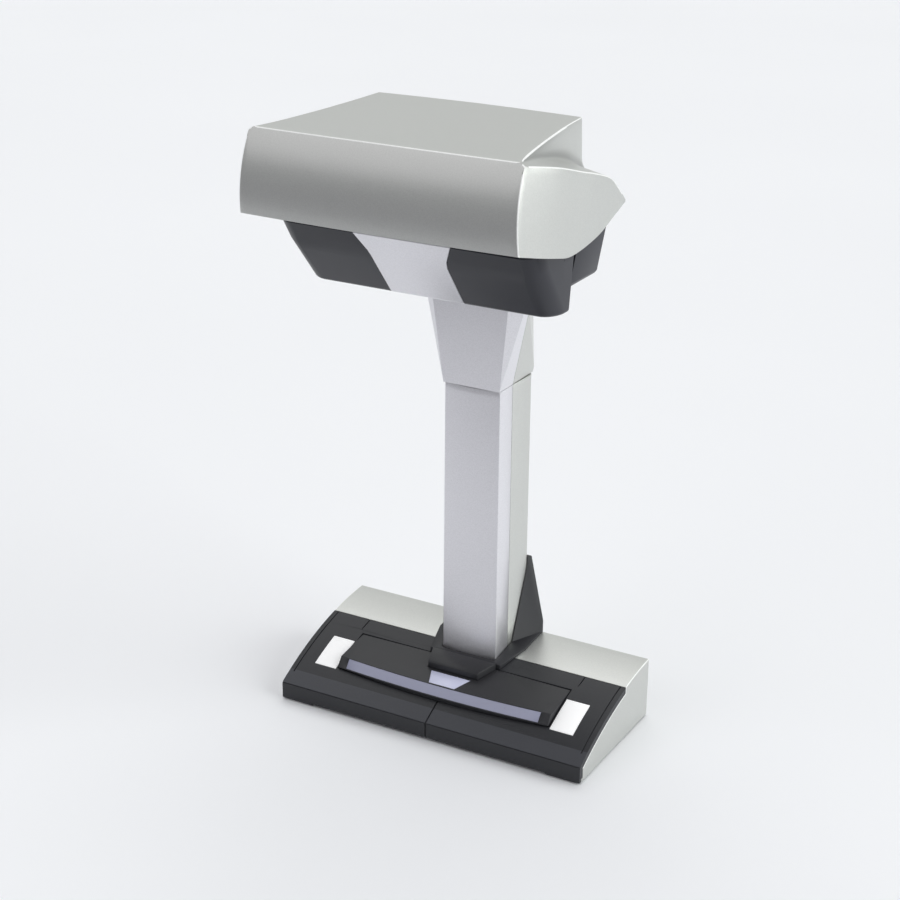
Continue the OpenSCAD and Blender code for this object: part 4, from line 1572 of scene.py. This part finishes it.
@dataclass
class Studio:
    """Floor, light and camera."""

    eye: Place = (522.1, -928.8, 611.6)
    azimuth: float = 29.1
    elevation: float = 21.8
    roll: float = 0.5
    lens: float = 78.2
    pale: Colour = (0.93, 0.94, 0.965)
    # painted shade: the floor turns to this grey between these two places in Y, in metres, in front of the
    # scanner, standing in for the dark room there
    painted_shade: Colour = (0.24, 0.235, 0.255)
    painted_shade_from: float = -0.3
    painted_shade_to: float = -0.8
    room: Colour = (0.92, 0.94, 0.96)
    room_light: float = 0.335

    def floor(self) -> None:
        """A wide pale floor with a faint unevenness; far in front it turns grey, a painted shade that stands
        in for the dark room there and darkens what the front faces reflect.
        """
        bpy.ops.object.select_all(action="DESELECT")
        bpy.ops.mesh.primitive_plane_add(size=20)
        plane = bpy.context.object
        plane.name = "floor"
        paper = Recipe("pale_floor")
        cloud = paper.noise(1.5) * 0.06
        depth = paper.node("ShaderNodeSeparateXYZ", sockets={0: paper.place}, output=1)
        ends = {0: depth, "From Min": self.painted_shade_from, "From Max": self.painted_shade_to, "To Min": 0.0, "To Max": 1.0}
        painted_shade_share = paper.node("ShaderNodeMapRange", {"interpolation_type": "SMOOTHSTEP"}, ends)
        paper.done(Base_Color=paper.mixed(painted_shade_share + cloud, self.pale, self.painted_shade), Roughness=0.7)
        plane.data.materials.append(paper.material)

    def lamp(self, name: str, source: Place, spread: float, power: float, tint: Place) -> None:
        """One distant soft light.

        Args:
            name: The light's name.
            source: The direction that it comes from.
            spread: Its width in degrees.
            power: Its strength.
            tint: Its colour.
        """
        data = bpy.data.lights.new(name, "SUN")
        data.angle, data.energy, data.color = math.radians(spread), power, tint
        light = bpy.data.objects.new(name, data)
        bpy.context.scene.collection.objects.link(light)
        light.location = source
        light.rotation_euler = Vector(source).to_track_quat("Z", "Y").to_euler()

    def lights(self) -> None:
        """A soft room, and wide lights overhead, behind, high in front and from the right."""
        world = bpy.data.worlds.new("room")
        bpy.context.scene.world = world
        world.use_nodes = True
        background = world.node_tree.nodes["Background"]
        background.inputs[0].default_value = rgba(self.room)
        background.inputs[1].default_value = self.room_light
        self.lamp("overhead", (-0.15, 0.25, 1.0), 60, 1.0, (1.0, 0.99, 0.98))
        self.lamp("behind", (-0.45, 0.8, 0.45), 60, 0.27, (0.98, 1.0, 0.97))
        self.lamp("front_above", (-0.45, -0.65, 0.7), 55, 0.46, (1.0, 0.97, 1.0))
        self.lamp("right_side", (1.0, 0.12, 0.36), 60, 2.15, (0.98, 1.0, 0.98))

    def camera(self) -> None:
        """The camera at the fitted place and angle."""
        az, el, roll = (math.radians(a) for a in (self.azimuth, self.elevation, self.roll))
        forward = Vector((-math.sin(az) * math.cos(el), math.cos(az) * math.cos(el), -math.sin(el)))
        level = Vector((math.cos(az), math.sin(az), 0))
        upright = level.cross(forward)
        right = level * math.cos(roll) + upright * math.sin(roll)
        above = upright * math.cos(roll) - level * math.sin(roll)
        turn = Matrix((right, above, -forward)).transposed().to_4x4()
        data = bpy.data.cameras.new("camera")
        data.lens, data.clip_start, data.clip_end = self.lens, 0.05, 50
        camera = bpy.data.objects.new("camera", data)
        bpy.context.scene.collection.objects.link(camera)
        camera.matrix_world = Matrix.Translation(Vector(self.eye) * MM) @ turn
        bpy.context.scene.camera = camera

    def build(self) -> None:
        """Sets up the whole studio."""
        self.camera()
        self.floor()
        self.lights()
        bpy.context.scene.view_settings.view_transform = "Standard"


def main() -> None:
    """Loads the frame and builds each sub-assembly in order."""
    logging.basicConfig(level=logging.INFO, format="%(message)s")
    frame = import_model()
    shop = Workshop(frame["nodes"])
    Studio().build()
    Insides(shop).build(frame["record"])
    Base(shop).build()
    Column(shop).build()
    RearHousing(shop).build()
    SwingingUnit(shop).build()
    Hood(shop).build()
    bpy.context.view_layer.update()
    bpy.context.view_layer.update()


if __name__ == "__main__":
    main()
